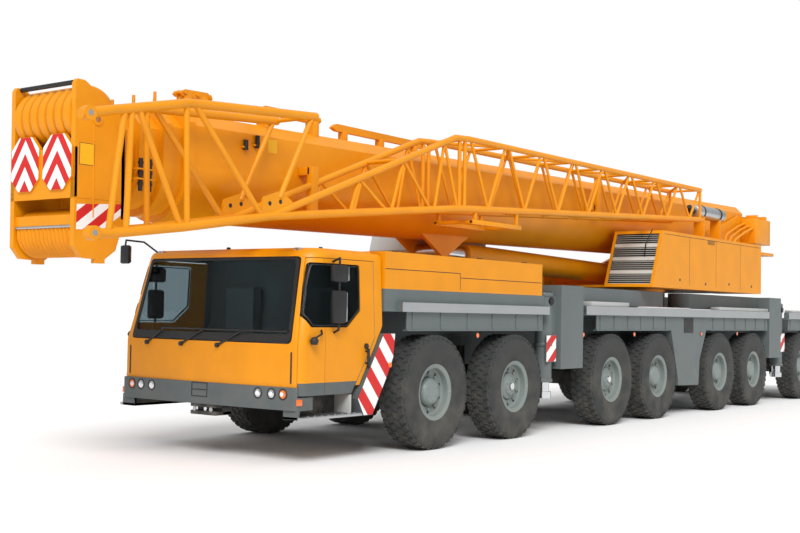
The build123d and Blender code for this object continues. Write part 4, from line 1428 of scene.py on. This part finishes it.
@dataclass
class BoomFittings:
    """Small fittings along the boom: couplers, locking pins, levers and pipes on its top."""

    pin_y: float = 0.28
    coupler_y: float = 0.462
    coupler_x: Flat = (9.37, 9.25)
    coupler_nuts: tuple[float, ...] = (2.86, 2.97, 3.07)
    pipe_clips: int = 9
    clip_pitch: float = 1.25

    def build(self) -> None:
        """Build the fittings of each section as its own piece."""
        self.couplers()
        for body, x, z0, z1 in (("boom_section_3", 9.60, 3.52, 3.70), ("boom_section_2", 9.33, 3.58, 3.79),
                                ("boom_section_1", 9.05, 3.62, 3.87)):
            piece = Piece(f"locking_pin_{body[-1]}", body, "yellow_paint")
            piece.rod((x, self.pin_y, z0 - 0.06), (x, self.pin_y, z1), 0.022, YELLOW, 14, 0.016)
            piece.rod((x, self.pin_y, z0 - 0.05), (x, self.pin_y, z0 + 0.03), 0.045, YELLOW, 18)
            piece.finish()
        self.top_gear()

    def couplers(self) -> None:
        """Add the hydraulic couplers with their brackets."""
        piece = Piece("couplers_front", "boom_section_2", "trim")
        y = self.coupler_y
        for x in self.coupler_x:
            piece.rod((x, y, 2.80), (x, y, 3.13), 0.022, TRIM, 16)
            for z in self.coupler_nuts:
                piece.rod((x, y, z), (x, y, z + 0.03), 0.029, TRIM, 6)
        for z in (2.92, 3.02):
            piece.block((9.20, 0.425, z - 0.008), (9.44, 0.495, z + 0.008), YELLOW, 0.003)
        piece.finish()
        rear = Piece("couplers_rear", "boom", "trim")
        for x, z0, z1 in ((7.95, 3.38, 3.49), (7.77, 3.42, 3.56)):
            rear.rod((x, 0.53, z0), (x, 0.53, z1), 0.026, TRIM, 16)
            rear.block((x - 0.05, 0.495, z0 + 0.02), (x + 0.05, 0.535, z0 + 0.04), YELLOW, 0.003)
        rear.finish()

    def top_gear(self) -> None:
        """Add the levers, stands and pipes that lie on the boom's base section."""
        piece = Piece("boom_top_gear", "boom", "yellow_paint")
        for x0, x1, y, z in ((8.30, 8.78, 0.30, 3.925), (6.52, 7.58, 0.32, 3.93)):
            arm = [(x0, z - 0.02), (x0 + 0.08, z + 0.03), (x1 - 0.08, z + 0.02), (x1, z - 0.03),
                   (x1 - 0.04, z - 0.055), (x0 + 0.03, z - 0.055)]
            for dy in (-0.05, 0.05):
                piece.prism([(x, y + dy - 0.012, zz) for x, zz in arm], (0, 0.024, 0), YELLOW)
            for x in (x0 + 0.06, (x0 + x1) / 2, x1 - 0.06):
                piece.rod((x, y - 0.085, z - 0.012), (x, y + 0.085, z - 0.012), 0.022, YELLOW, 14)
            for x in (x0 + 0.10, x1 - 0.12):
                piece.block((x - 0.05, y - 0.07, 3.62), (x + 0.05, y + 0.07, z - 0.02), YELLOW, 0.008)
        flat = [(6.15, 3.90), (6.05, 3.955), (4.30, 3.95), (4.13, 3.90), (4.20, 3.865), (6.05, 3.865)]
        piece.prism([(x, 0.17, z) for x, z in rounded(flat, 0.02)], (0, 0.06, 0), YELLOW)
        for x in (4.40, 5.15, 5.90):
            piece.block((x - 0.04, 0.15, 3.70), (x + 0.04, 0.25, 3.88), YELLOW, 0.008)
        for y, lift in ((0.40, 0.0), (0.44, -0.03)):
            run = [(8.55, y, 3.60 + lift), (7.2, y, 3.625 + lift), (3.0, y, 3.70 + lift),
                   (-2.4, y, 3.79 + lift)]
            piece.path(run, 0.016, YELLOW, 8)
            for k in range(self.pipe_clips):
                x = 8.2 - k * self.clip_pitch
                z = height_along([(p[0], p[2]) for p in run], x)
                piece.block((x - 0.025, y - 0.035, z - 0.07), (x + 0.025, y + 0.03, z + 0.018), YELLOW, 0.004)
        piece.finish()


# --- Wheels ---
class Rings:
    """Geometry-nodes tree that sets copies of a mesh in a ring about Z."""

    def __init__(self) -> None:
        """Build the tree once."""
        tree = bpy.data.node_groups.new("Ring of copies", "GeometryNodeTree")
        for label, kind in (("Geometry", "NodeSocketGeometry"), ("Count", "NodeSocketInt"),
                            ("Radius", "NodeSocketFloat"), ("Turn", "NodeSocketFloat"),
                            ("Rise", "NodeSocketFloat"), ("Material", "NodeSocketMaterial")):
            tree.interface.new_socket(label, in_out="INPUT", socket_type=kind)
        tree.interface.new_socket("Geometry", in_out="OUTPUT", socket_type="NodeSocketGeometry")
        self.tree = tree
        given, out = add_node(tree, "NodeGroupInput"), add_node(tree, "NodeGroupOutput")
        circle = add_node(tree, "GeometryNodeMeshCircle")
        index = add_node(tree, "GeometryNodeInputIndex")
        share = add_node(tree, "ShaderNodeMath", operation="DIVIDE")
        angle = add_node(tree, "ShaderNodeMath", {1: 2 * math.pi}, operation="MULTIPLY")
        spin, turn, rise = (add_node(tree, "ShaderNodeCombineXYZ") for _ in range(3))
        copies = add_node(tree, "GeometryNodeInstanceOnPoints")
        real = add_node(tree, "GeometryNodeRealizeInstances")
        place = add_node(tree, "GeometryNodeTransform")
        paint = add_node(tree, "GeometryNodeSetMaterial")
        wire(tree, (given, "Count", circle, "Vertices"), (given, "Radius", circle, "Radius"),
             (index, 0, share, 0), (given, "Count", share, 1), (share, 0, angle, 0), (angle, 0, spin, "Z"),
             (circle, "Mesh", copies, "Points"), (given, "Geometry", copies, "Instance"),
             (spin, 0, copies, "Rotation"), (copies, "Instances", place, "Geometry"),
             (given, "Turn", turn, "Z"),
             (turn, 0, place, "Rotation"), (given, "Rise", rise, "Z"), (rise, 0, place, "Translation"),
             (place, "Geometry", real, "Geometry"), (real, "Geometry", paint, "Geometry"),
             (given, "Material", paint, "Material"), (paint, "Geometry", out, "Geometry"))

    def ring(self, mesh: bpy.types.Mesh, count: int, radius: float, turn: float, rise: float,
             material: bpy.types.Material) -> bpy.types.Mesh:
        """Return a plain mesh of copies set in a ring.

        Args:
            mesh: What is copied; its +X points outwards.
            count: How many copies.
            radius: The ring's radius.
            turn: How far the first copy is turned from +X.
            rise: How far the ring lies along Z.
            material: The copies' material.

        Returns:
            The joined copies.
        """
        obj = bpy.data.objects.new("ring", mesh)
        bpy.context.scene.collection.objects.link(obj)
        nodes = obj.modifiers.new("ring", "NODES")
        nodes.node_group = self.tree
        values = {"Count": count, "Radius": radius, "Turn": turn, "Rise": rise, "Material": material}
        for item in self.tree.interface.items_tree:
            if item.in_out == "INPUT" and item.name in values:
                nodes[item.identifier] = values[item.name]
        made = bpy.data.meshes.new_from_object(obj.evaluated_get(bpy.context.evaluated_depsgraph_get()))
        bpy.data.objects.remove(obj)
        return made


def lug(length: float, width: float, height: float, skew: float) -> bpy.types.Mesh:
    """Return one tread lug: a block that narrows upwards and leans round the tyre.

    Args:
        length: Its size across the tyre.
        width: Its size round the tyre.
        height: Its size outwards.
        skew: How far its two ends are shifted round the tyre.

    Returns:
        The lug's mesh, +X outwards and Z across the tyre.
    """
    rings = []
    for x, shrink_by in ((-0.008, 1.0), (height, 0.82)):
        rings.append([(x, sy * width / 2 * shrink_by + sz * skew, sz * length / 2 * shrink_by)
                      for sy, sz in ((-1, -1), (1, -1), (1, 1), (-1, 1))])
    return closed_mesh(rings)


@dataclass
class Wheels:
    """Tyres with rows of skewed lugs, on rims with nuts and with dark discs for ventilation holes: dark parts
    behind, with painted shade.
    """

    lugs: int = 40
    lug_height: float = 0.0150
    tyre: tuple[Flat, ...] = ((-0.1425, 0.305), (-0.1745, 0.357), (-0.1925, 0.47), (-0.1925, 0.56),
                              (-0.184, 0.625),
                              (-0.168, 0.660), (-0.145, 0.668), (0.145, 0.668), (0.168, 0.660),
                              (0.184, 0.625),
                              (0.1925, 0.56), (0.1925, 0.47), (0.1745, 0.357), (0.1425, 0.305))
    rim: tuple[Flat, ...] = ((-0.150, 0.300), (-0.165, 0.345), (-0.155, 0.352), (-0.140, 0.306),
                             (0.140, 0.306),
                             (0.155, 0.352), (0.165, 0.345), (0.150, 0.300), (0.145, 0.289), (0.075, 0.285),
                             (0.055, 0.262), (0.050, 0.235), (0.042, 0.190), (0.030, 0.175), (-0.12, 0.175),
                             (-0.12, 0.285))
    hub_flat: tuple[Flat, ...] = ((0.02, 0), (0.02, 0.17), (0.07, 0.170), (0.105, 0.152), (0.125, 0.125),
                                  (0.128, 0))
    hub_round: tuple[Flat, ...] = ((0.02, 0), (0.02, 0.17), (0.06, 0.170), (0.075, 0.150), (0.085, 0.125),
                                   (0.10, 0.118), (0.108, 0.085), (0.110, 0))
    round_axles: tuple[int, ...] = (2, 3)

    def tread(self) -> bpy.types.Mesh:
        """Return the lugs of a whole tyre about Z.

        Returns:
            The lugs' joined mesh.
        """
        rings, rubber = Rings(), MATERIALS.get(RUBBER)
        pitch = 2 * math.pi / self.lugs
        rows = [(0.130, 0.5, 0.012), (0.045, 0.0, -0.010), (-0.045, 0.5, 0.010), (-0.130, 0.0, -0.012)]
        bm = bmesh.new()
        for rise, half_step, skew in rows:
            block = lug(0.075, 0.078, self.lug_height, skew)
            bm.from_mesh(rings.ring(block, self.lugs, 0.668, half_step * pitch, rise, rubber))
        for rise in (0.176, -0.176):
            block = lug(0.022, 0.062, 0.004, 0)
            bm.from_mesh(rings.ring(block, self.lugs, 0.648, 0.25 * pitch, rise, rubber))
        mesh = bpy.data.meshes.new("tread")
        bm.to_mesh(mesh)
        bm.free()
        return mesh

    def build(self) -> None:
        """Build all sixteen wheels, the right ones turned half round."""
        tread = self.tread()
        for i in range(1, len(AXLE_X) + 1):
            for name, side in SIDES:
                low, high = (Vector(c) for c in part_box(f"wheel_{i}_{name}"))
                centre = (low + high) / 2
                piece = Piece(f"wheel_and_tyre_{i}_{name}", f"wheel_{i}_{name}", "tyre")
                axis = (0, side, 0)
                piece.turned(centre, axis, self.tyre, RUBBER, 64, True)
                piece.turned(centre, axis, self.rim, RIM, 48, True)
                round_hub = i in self.round_axles
                piece.turned(centre, axis, self.hub_round if round_hub else self.hub_flat, RIM, 40)
                self.fasteners(piece, centre, side, round_hub)
                upright = Matrix.Translation(centre) @ Matrix.Rotation(math.pi / 2, 4, "X")
                piece.take(tread, RUBBER, 1, place=upright)
                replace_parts(piece.finish(0.5), f"wheel_{i}_{name}")

    def fasteners(self, piece: Piece, centre: Vector, side: int, round_hub: bool) -> None:
        """Add the wheel nuts, the dark discs of the ventilation holes (dark parts behind them, with painted
        shade), the valve and the hub's bolts.

        Args:
            piece: The wheel being gathered.
            centre: Its middle.
            side: 1 on the left, -1 on the right.
            round_hub: Whether the hub is the bolted kind with a bright centre.
        """
        def ring(count: int, radius: float, y0: float, y1: float, size: float, finish: Finish,
                 sides: int) -> None:
            """Add a ring of short bars across the wheel.

            Args:
                count: How many bars.
                radius: The radius.
                y0: Where the bars begin.
                y1: Where the bars end.
                size: The radius of each bar.
                finish: Its finish.
                sides: How many flats make it round.
            """
            for k in range(count):
                a = 2 * math.pi * (k + 0.5) / count
                spot = Vector((radius * math.cos(a), 0, radius * math.sin(a)))
                near, far = (centre + spot + Vector((0, side * y, 0)) for y in (y0, y1))
                piece.rod(near, far, size, finish, sides)

        ring(10, 0.212, 0.030, 0.072, 0.016, RIM, 6)
        # dark discs in place of the ventilation holes: the dark hub parts seen through them, with the holes'
        # shade painted in
        ring(10, 0.249, 0.040, 0.0555, 0.019, DARK, 12)
        ring(1, 0.318, 0.12, 0.158, 0.008, ALUMINIUM, 8)
        if round_hub:
            ring(8, 0.100, 0.08, 0.116, 0.011, RIM, 6)
            piece.rod(centre + Vector((0, side * 0.09, 0)), centre + Vector((0, side * 0.128, 0)), 0.058,
                      CHROME, 24, 0.045)
        else:
            ring(6, 0.105, 0.10, 0.131, 0.009, RIM, 6)


# --- Superstructure and deck ---
@dataclass
class EngineHouse:
    """Engine house of the superstructure, with its leaning louvred front and its silencer."""

    x: Flat = (-5.31, -0.45)
    y: Flat = (0.58, 1.45)
    z: Flat = (2.122, 3.06)
    lean: float = 0.38
    frame: float = 0.055
    depth: float = 0.07
    rows: int = 4
    slats: int = 5
    latches: tuple[Flat, ...] = ((-1.51, 2.27), (-2.60, 2.23), (-3.68, 2.26), (-4.80, 2.25))
    silencer_x: Flat = (-4.64, -3.35)
    silencer_axis: Flat = (0.90, 3.595)
    silencer_r: float = 0.125

    def on_front(self, t: float, depth: float) -> Flat:
        """Return the point t up the slope and depth behind its face, as (x, z)."""
        rise = Vector((-self.lean, self.z[1] - self.z[0])).normalized()
        return (self.x[1] + t * rise.x - depth * rise.y, self.z[0] + t * rise.y + depth * rise.x)

    def build(self) -> None:
        """Build the house, and the fittings around it."""
        piece = Piece("engine_housing", "superstructure", "yellow_paint")
        slope = math.hypot(self.lean, self.z[1] - self.z[0])
        y0, y1 = self.y
        body = [(self.x[0], self.z[0]), self.on_front(0, 0), self.on_front(slope, 0), (self.x[0], self.z[1])]
        pocket = self.strip(self.frame, slope - self.frame, -0.01, self.depth)
        slat_y = (y0 + self.frame - 0.002, y1 - self.frame + 0.002)
        made = combine(side_solid(body, y0, y1),
                       ("DIFFERENCE", side_solid(pocket, y0 + self.frame, y1 - self.frame)))
        piece.take(made, YELLOW, 1,
                   lambda c, n: c.x > -1.5 and y0 + 0.02 < c.y < y1 - 0.02 and self.behind(c) > 0.01, DARK)
        height = (slope - self.frame * (self.rows + 1)) / self.rows
        # slats and the bars between rows in matte light grey: silver metal with its bright reflection painted
        # in
        for row in range(self.rows):
            t0 = self.frame + row * (height + self.frame)
            if row:
                piece.take(side_solid(self.strip(t0 - self.frame, t0, 0.004, 0.05), *slat_y), LOUVRE_GREY_PAINTED_REFLECTION)
            for k in range(self.slats):
                t = t0 + (k + 0.1) * height / self.slats
                reach = 0.9 * height / self.slats
                slat = [self.on_front(t, 0.006), self.on_front(t + 0.006, 0.006),
                        self.on_front(t + reach, 0.052),
                        self.on_front(t + reach - 0.006, 0.052)]
                piece.take(side_solid(slat, *slat_y), LOUVRE_GREY_PAINTED_REFLECTION)
        self.panels(piece)
        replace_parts(piece.finish(), "engine_house")
        self.fittings()

    def strip(self, t0: float, t1: float, near: float, deep: float) -> list[Flat]:
        """Return the outline between two places up the slope and two depths behind its face."""
        return [self.on_front(t, depth) for t, depth in ((t0, near), (t1, near), (t1, deep), (t0, deep))]

    def behind(self, c: Vector) -> float:
        """Return how far a point lies behind the leaning front."""
        rise = Vector((-self.lean, self.z[1] - self.z[0])).normalized()
        return -((c.x - self.x[1]) * rise.y - (c.z - self.z[0]) * rise.x)

    def panels(self, piece: Piece) -> None:
        """Add the shut lines, latches and top vent of the side panels.

        Args:
            piece: The piece that gathers it.
        """
        y = self.y[1]
        x_end = self.x[1] - self.lean
        for share in (0.24, 0.5, 0.76):
            x = self.x[0] + share * (x_end - self.x[0])
            piece.block((x - 0.004, y - 0.004, self.z[0] + 0.06), (x + 0.004, y + 0.0008, self.z[1] - 0.05),
                        TRIM)
        piece.block((self.x[0] + 0.06, y - 0.004, self.z[1] - 0.058),
                    (x_end - 0.06, y + 0.0008, self.z[1] - 0.050), TRIM)
        for x, z in self.latches:
            piece.rod((x, y - 0.004, z), (x, y + 0.007, z), 0.022, TRIM, 16)
            piece.rod((x, y, z), (x, y + 0.011, z), 0.010, CHROME, 12)
        for k in range(5):
            z = 2.935 + k * 0.016
            piece.block((-2.99, y - 0.002, z), (-2.68, y + 0.003, z + 0.006), TRIM)
        strap = [(-0.70, 1.32, 3.07), (-0.62, 1.24, 2.82), (-0.68, 1.19, 2.55)]
        piece.path(strap, 0.010, TRIM, 8)

    def fittings(self) -> None:
        """Add the silencer on its saddles, the box at the tail and the rigid pipes between."""
        piece = Piece("silencer", "superstructure", "aluminium")
        (x0, x1), (y, z), r = self.silencer_x, self.silencer_axis, self.silencer_r
        piece.turned((0, y, z), (1, 0, 0),
                     [(x0, 0), (x0, r * 0.6), (x0 + 0.015, r * 0.85), (x0 + 0.05, r), (x1 - 0.05, r),
                      (x1 - 0.015, r * 0.85), (x1, r * 0.6), (x1, 0)], ALUMINIUM, 40)
        for x in (x0 + 0.26, x1 - 0.26):
            piece.block((x - 0.025, 0.80, 3.055), (x + 0.025, 1.00, 3.55), YELLOW, 0.006)
            piece.turned((x, y, z), (1, 0, 0), [(-0.02, r), (0.02, r), (0.02, r + 0.008), (-0.02, r + 0.008)],
                         TRIM, 40, True)
        piece.path([(x1 - 0.01, y, z), (x1 + 0.16, y, 3.60), (x1 + 0.22, y, 3.66)], 0.05, DARK, 16)
        piece.finish()
        tail = Piece("tail_box", "superstructure", "yellow_paint")
        tail.block((-7.35, 0.583, 3.18), (-6.50, 0.90, 3.70), YELLOW, 0.02)
        for k in range(3):
            out, down = 0.09 * k, 0.05 * k
            tail.path([(-6.52, 0.66 + out, 3.60 - down), (-6.1, 0.66 + out, 3.50 - down),
                       (-5.45, 0.70 + out, 3.30 - down), (-5.28, 0.70 + out, 3.05)], 0.022, YELLOW, 10)
        for x in (-7.2, -6.7):
            tail.block((x - 0.04, 0.62, 3.695), (x + 0.04, 0.86, 3.78), YELLOW, 0.01)
        tail.block((-6.42, 0.58, 2.9), (-5.32, 1.30, 2.96), YELLOW, 0.008)
        tail.finish()


@dataclass
class DeckTrim:
    """Ribs, lamps, plates and boards along the carrier's sides, and the collars of the outrigger columns."""

    skirt_y: float = 1.44
    skirts: tuple[Flat, ...] = ((3.02, 6.16), (-1.10, 1.44), (-5.70, -2.86), (-10.30, -6.90))
    ribs: int = 6
    markers: tuple[float, ...] = (4.66, 1.86, 0.19, -2.44, -4.10, -8.5)
    boards: tuple[tuple[float, float, float], ...] = ((0.34, 1.57, 1.85), (-5.95, -3.30, 1.84),
                                                      (-10.2, -7.2, 1.83))
    hinges: tuple[float, ...] = (3.4, 4.5, 5.6, 6.3)
    striped_board: Flat = (-2.15, -0.45)
    column_y: float = 1.29
    collars: tuple[float, ...] = (0.70, 1.20, 1.895)
    bolts: int = 8
    bolt_ring: float = 0.105

    def build(self) -> None:
        """Build the deck's trim, then each outrigger's."""
        piece = Piece("deck_trim", "carrier", "grey_paint")
        for side in (1, -1):
            for x0, x1 in self.skirts:
                pitch = (x1 - x0 - 0.24) / (self.ribs - 1)
                for k in range(self.ribs):
                    x = x0 + 0.12 + k * pitch
                    self.block(piece, side, (x - 0.014, x + 0.014),
                               (self.skirt_y - 0.002, self.skirt_y + 0.010),
                               (1.44, 1.636), GREY)
                self.block(piece, side, (x0, x1), (self.skirt_y - 0.05, self.skirt_y + 0.006), (1.416, 1.432),
                           GREY)
            for x in self.markers:
                piece.rod((x, side * 1.438, 1.36), (x, side * 1.452, 1.36), 0.030, ORANGE_LENS, 18)
                piece.rod((x, side * 1.436, 1.36), (x, side * 1.447, 1.36), 0.037, TRIM, 18)
            self.block(piece, side, (-2.10, -1.72), (1.438, 1.446), (1.38, 1.63), DARK)
            for x0, x1, top in self.boards:
                self.block(piece, side, (x0, x1), (1.26, 1.43), (1.782, top), PALE_GREY, 0.006)
            # hinges along the engine cover's edge
            for x in self.hinges:
                piece.rod((x - 0.05, side * 1.36, 2.334), (x + 0.05, side * 1.36, 2.334), 0.012, TRIM, 8)
            self.block(piece, side, (4.996, 5.004), (1.398, 1.4015), (1.92, 2.13), TRIM)
            self.block(piece, side, (3.0, 5.0), (1.396, 1.4015), (2.070, 2.078), TRIM)
            self.block(piece, side, (5.0, 6.53), (1.396, 1.4015), (2.126, 2.134), TRIM)
        board = Surface((0, 0, 1.80), (1, 0, 0), (0, 1, 0))
        x0, x1 = self.striped_board
        for side in (1, -1):
            low, high = sorted((side * 1.02, side * 1.37))
            piece.block((x0, low, 1.782), (x1, high, 1.80), WHITE, 0.003)
            outline = [(-2.14, low + 0.01), (-0.46, low + 0.01), (-0.46, high - 0.01), (-2.14, high - 0.01)]
            board.stripes(piece, outline, (1, 0.8), 0.16, 0.0, (RED, WHITE))
        piece.finish()
        for end, turn in ENDS:
            for name, side in SIDES:
                self.column(end, turn, name, side)

    @staticmethod
    def block(piece: Piece, side: int, x: Flat, y: Flat, z: Flat, finish: Finish, bevel: float = 0.0) -> None:
        """Add a block on one side, its y limits given for the left."""
        low, high = sorted((side * y[0], side * y[1]))
        piece.block((x[0], low, z[0]), (x[1], high, z[1]), finish, bevel)

    def column(self, end: str, turn: int, name: str, side: int) -> None:
        """Add one outrigger's collars, eye and plate on its jack column.

        Args:
            end: "front" or "rear".
            turn: 1 at the front, -1 at the rear.
            name: "left" or "right".
            side: 1 on the left, -1 on the right.
        """
        piece = Piece(f"jack_collars_{end}_{name}", f"outrigger_arm_{end}_{name}", "grey_paint")
        x, y = jack_x(turn), side * self.column_y
        for z in self.collars:
            piece.turned((x, y, z), (0, 0, 1), [(0, 0.119), (0, 0.130), (0.006, 0.134), (0.044, 0.134),
                                                (0.05, 0.130), (0.05, 0.119)], GREY, 36, True)
        piece.rod((x, side * 1.40, 1.83), (x, side * 1.426, 1.83), 0.055, TRIM, 20)
        for k in range(self.bolts):
            a = 2 * math.pi * k / self.bolts
            bolt_x, bolt_y = x + self.bolt_ring * math.cos(a), y + self.bolt_ring * math.sin(a)
            piece.rod((bolt_x, bolt_y, 1.944), (bolt_x, bolt_y, 1.962), 0.011, DARK, 6)
        piece.finish()


# --- Studio ---
@dataclass
class Studio:
    """Floor, lamps and camera."""

    eye: Point = (17.329, 9.720, 1.622)
    heading: float = 36.92
    rise: float = 2.243
    tilt: float = 1.063
    lens: float = 53.68
    horizon: float = 0.42
    zenith: float = 0.85
    key: float = 2.4
    key_from: Point = (0.72, 0.55, 0.75)
    floor_half: float = 900.0

    def floor(self) -> None:
        """Lay a plain pale floor that shows white where no shadow falls."""
        mesh = bpy.data.meshes.new("floor")
        r = self.floor_half
        mesh.from_pydata([(-r, -r, 0), (r, -r, 0), (r, r, 0), (-r, r, 0)], [], [(0, 1, 2, 3)])
        obj = bpy.data.objects.new("floor", mesh)
        bpy.context.scene.collection.objects.link(obj)
        mat = bpy.data.materials.new("pale floor")
        mat.use_nodes = True
        for socket, value in (("Base Color", (0.93, 0.93, 0.93, 1)), ("Roughness", 0.95),
                              ("Specular IOR Level", 0.1)):
            mat.node_tree.nodes["Principled BSDF"].inputs[socket].default_value = value
        mesh.materials.append(mat)

    def world(self) -> None:
        """Light from a sky that is brightest overhead, and show white behind the object."""
        world = bpy.data.worlds.new("studio")
        bpy.context.scene.world = world
        world.use_nodes = True
        tree = world.node_tree
        back = tree.nodes["Background"]
        path = add_node(tree, "ShaderNodeLightPath")
        seen = add_node(tree, "ShaderNodeMath", operation="MAXIMUM")
        ray = add_node(tree, "ShaderNodeNewGeometry")
        split = add_node(tree, "ShaderNodeSeparateXYZ")
        sky = add_node(tree, "ShaderNodeMapRange", {"From Max": -0.9, "To Min": self.horizon,
                                                    "To Max": self.zenith})
        amount = add_node(tree, "ShaderNodeMix", {"B": 1.0})
        wire(tree, (ray, "Incoming", split, 0), (split, "Z", sky, "Value"), (path, "Is Camera Ray", seen, 0),
             (path, "Is Transmission Ray", seen, 1), (seen, 0, amount, "Factor"), (sky, 0, amount, "A"),
             (amount, "Result", back, "Strength"))
        back.inputs["Color"].default_value = (1, 1, 1, 1)

    def lamps(self) -> None:
        """Hang a soft sun ahead and to the left."""
        data = bpy.data.lights.new("key", "SUN")
        data.energy, data.angle = self.key, 0.45
        lamp = bpy.data.objects.new("key", data)
        lamp.rotation_euler = (-Vector(self.key_from)).to_track_quat("-Z", "Y").to_euler()
        bpy.context.scene.collection.objects.link(lamp)

    def camera(self) -> None:
        """Place the camera at the chosen viewing angle."""
        yaw, pitch, roll = (math.radians(a) for a in (self.heading, self.rise, self.tilt))
        ahead = Vector((-math.cos(yaw) * math.cos(pitch), -math.sin(yaw) * math.cos(pitch), math.sin(pitch)))
        level = ahead.cross(Vector((0, 0, 1))).normalized()
        upward = level.cross(ahead)
        right = math.cos(roll) * level + math.sin(roll) * upward
        up = -math.sin(roll) * level + math.cos(roll) * upward
        data = bpy.data.cameras.new("camera")
        data.lens, data.sensor_width, data.clip_end = self.lens, 36, 2000
        cam = bpy.data.objects.new("camera", data)
        cam.matrix_world = Matrix((right, up, -ahead)).transposed().to_4x4()
        cam.location = self.eye
        bpy.context.scene.collection.objects.link(cam)
        bpy.context.scene.camera = cam

    def build(self) -> None:
        """Set up the whole studio."""
        self.floor()
        self.world()
        self.lamps()
        self.camera()
        bpy.context.scene.view_settings.view_transform = "Standard"


def main() -> None:
    """Build the crane's looks piece by piece."""
    logging.basicConfig(level=logging.INFO, format="%(message)s")
    CadFinishes().build()
    Markings().build()
    for assembly in (DriverCab(), Bumper(), Lamps(), Jib(), Boom(), BoomFittings(), Wheels(), EngineHouse(),
                     DeckTrim()):
        assembly.build()
    Studio().build()


if __name__ == "__main__":
    main()
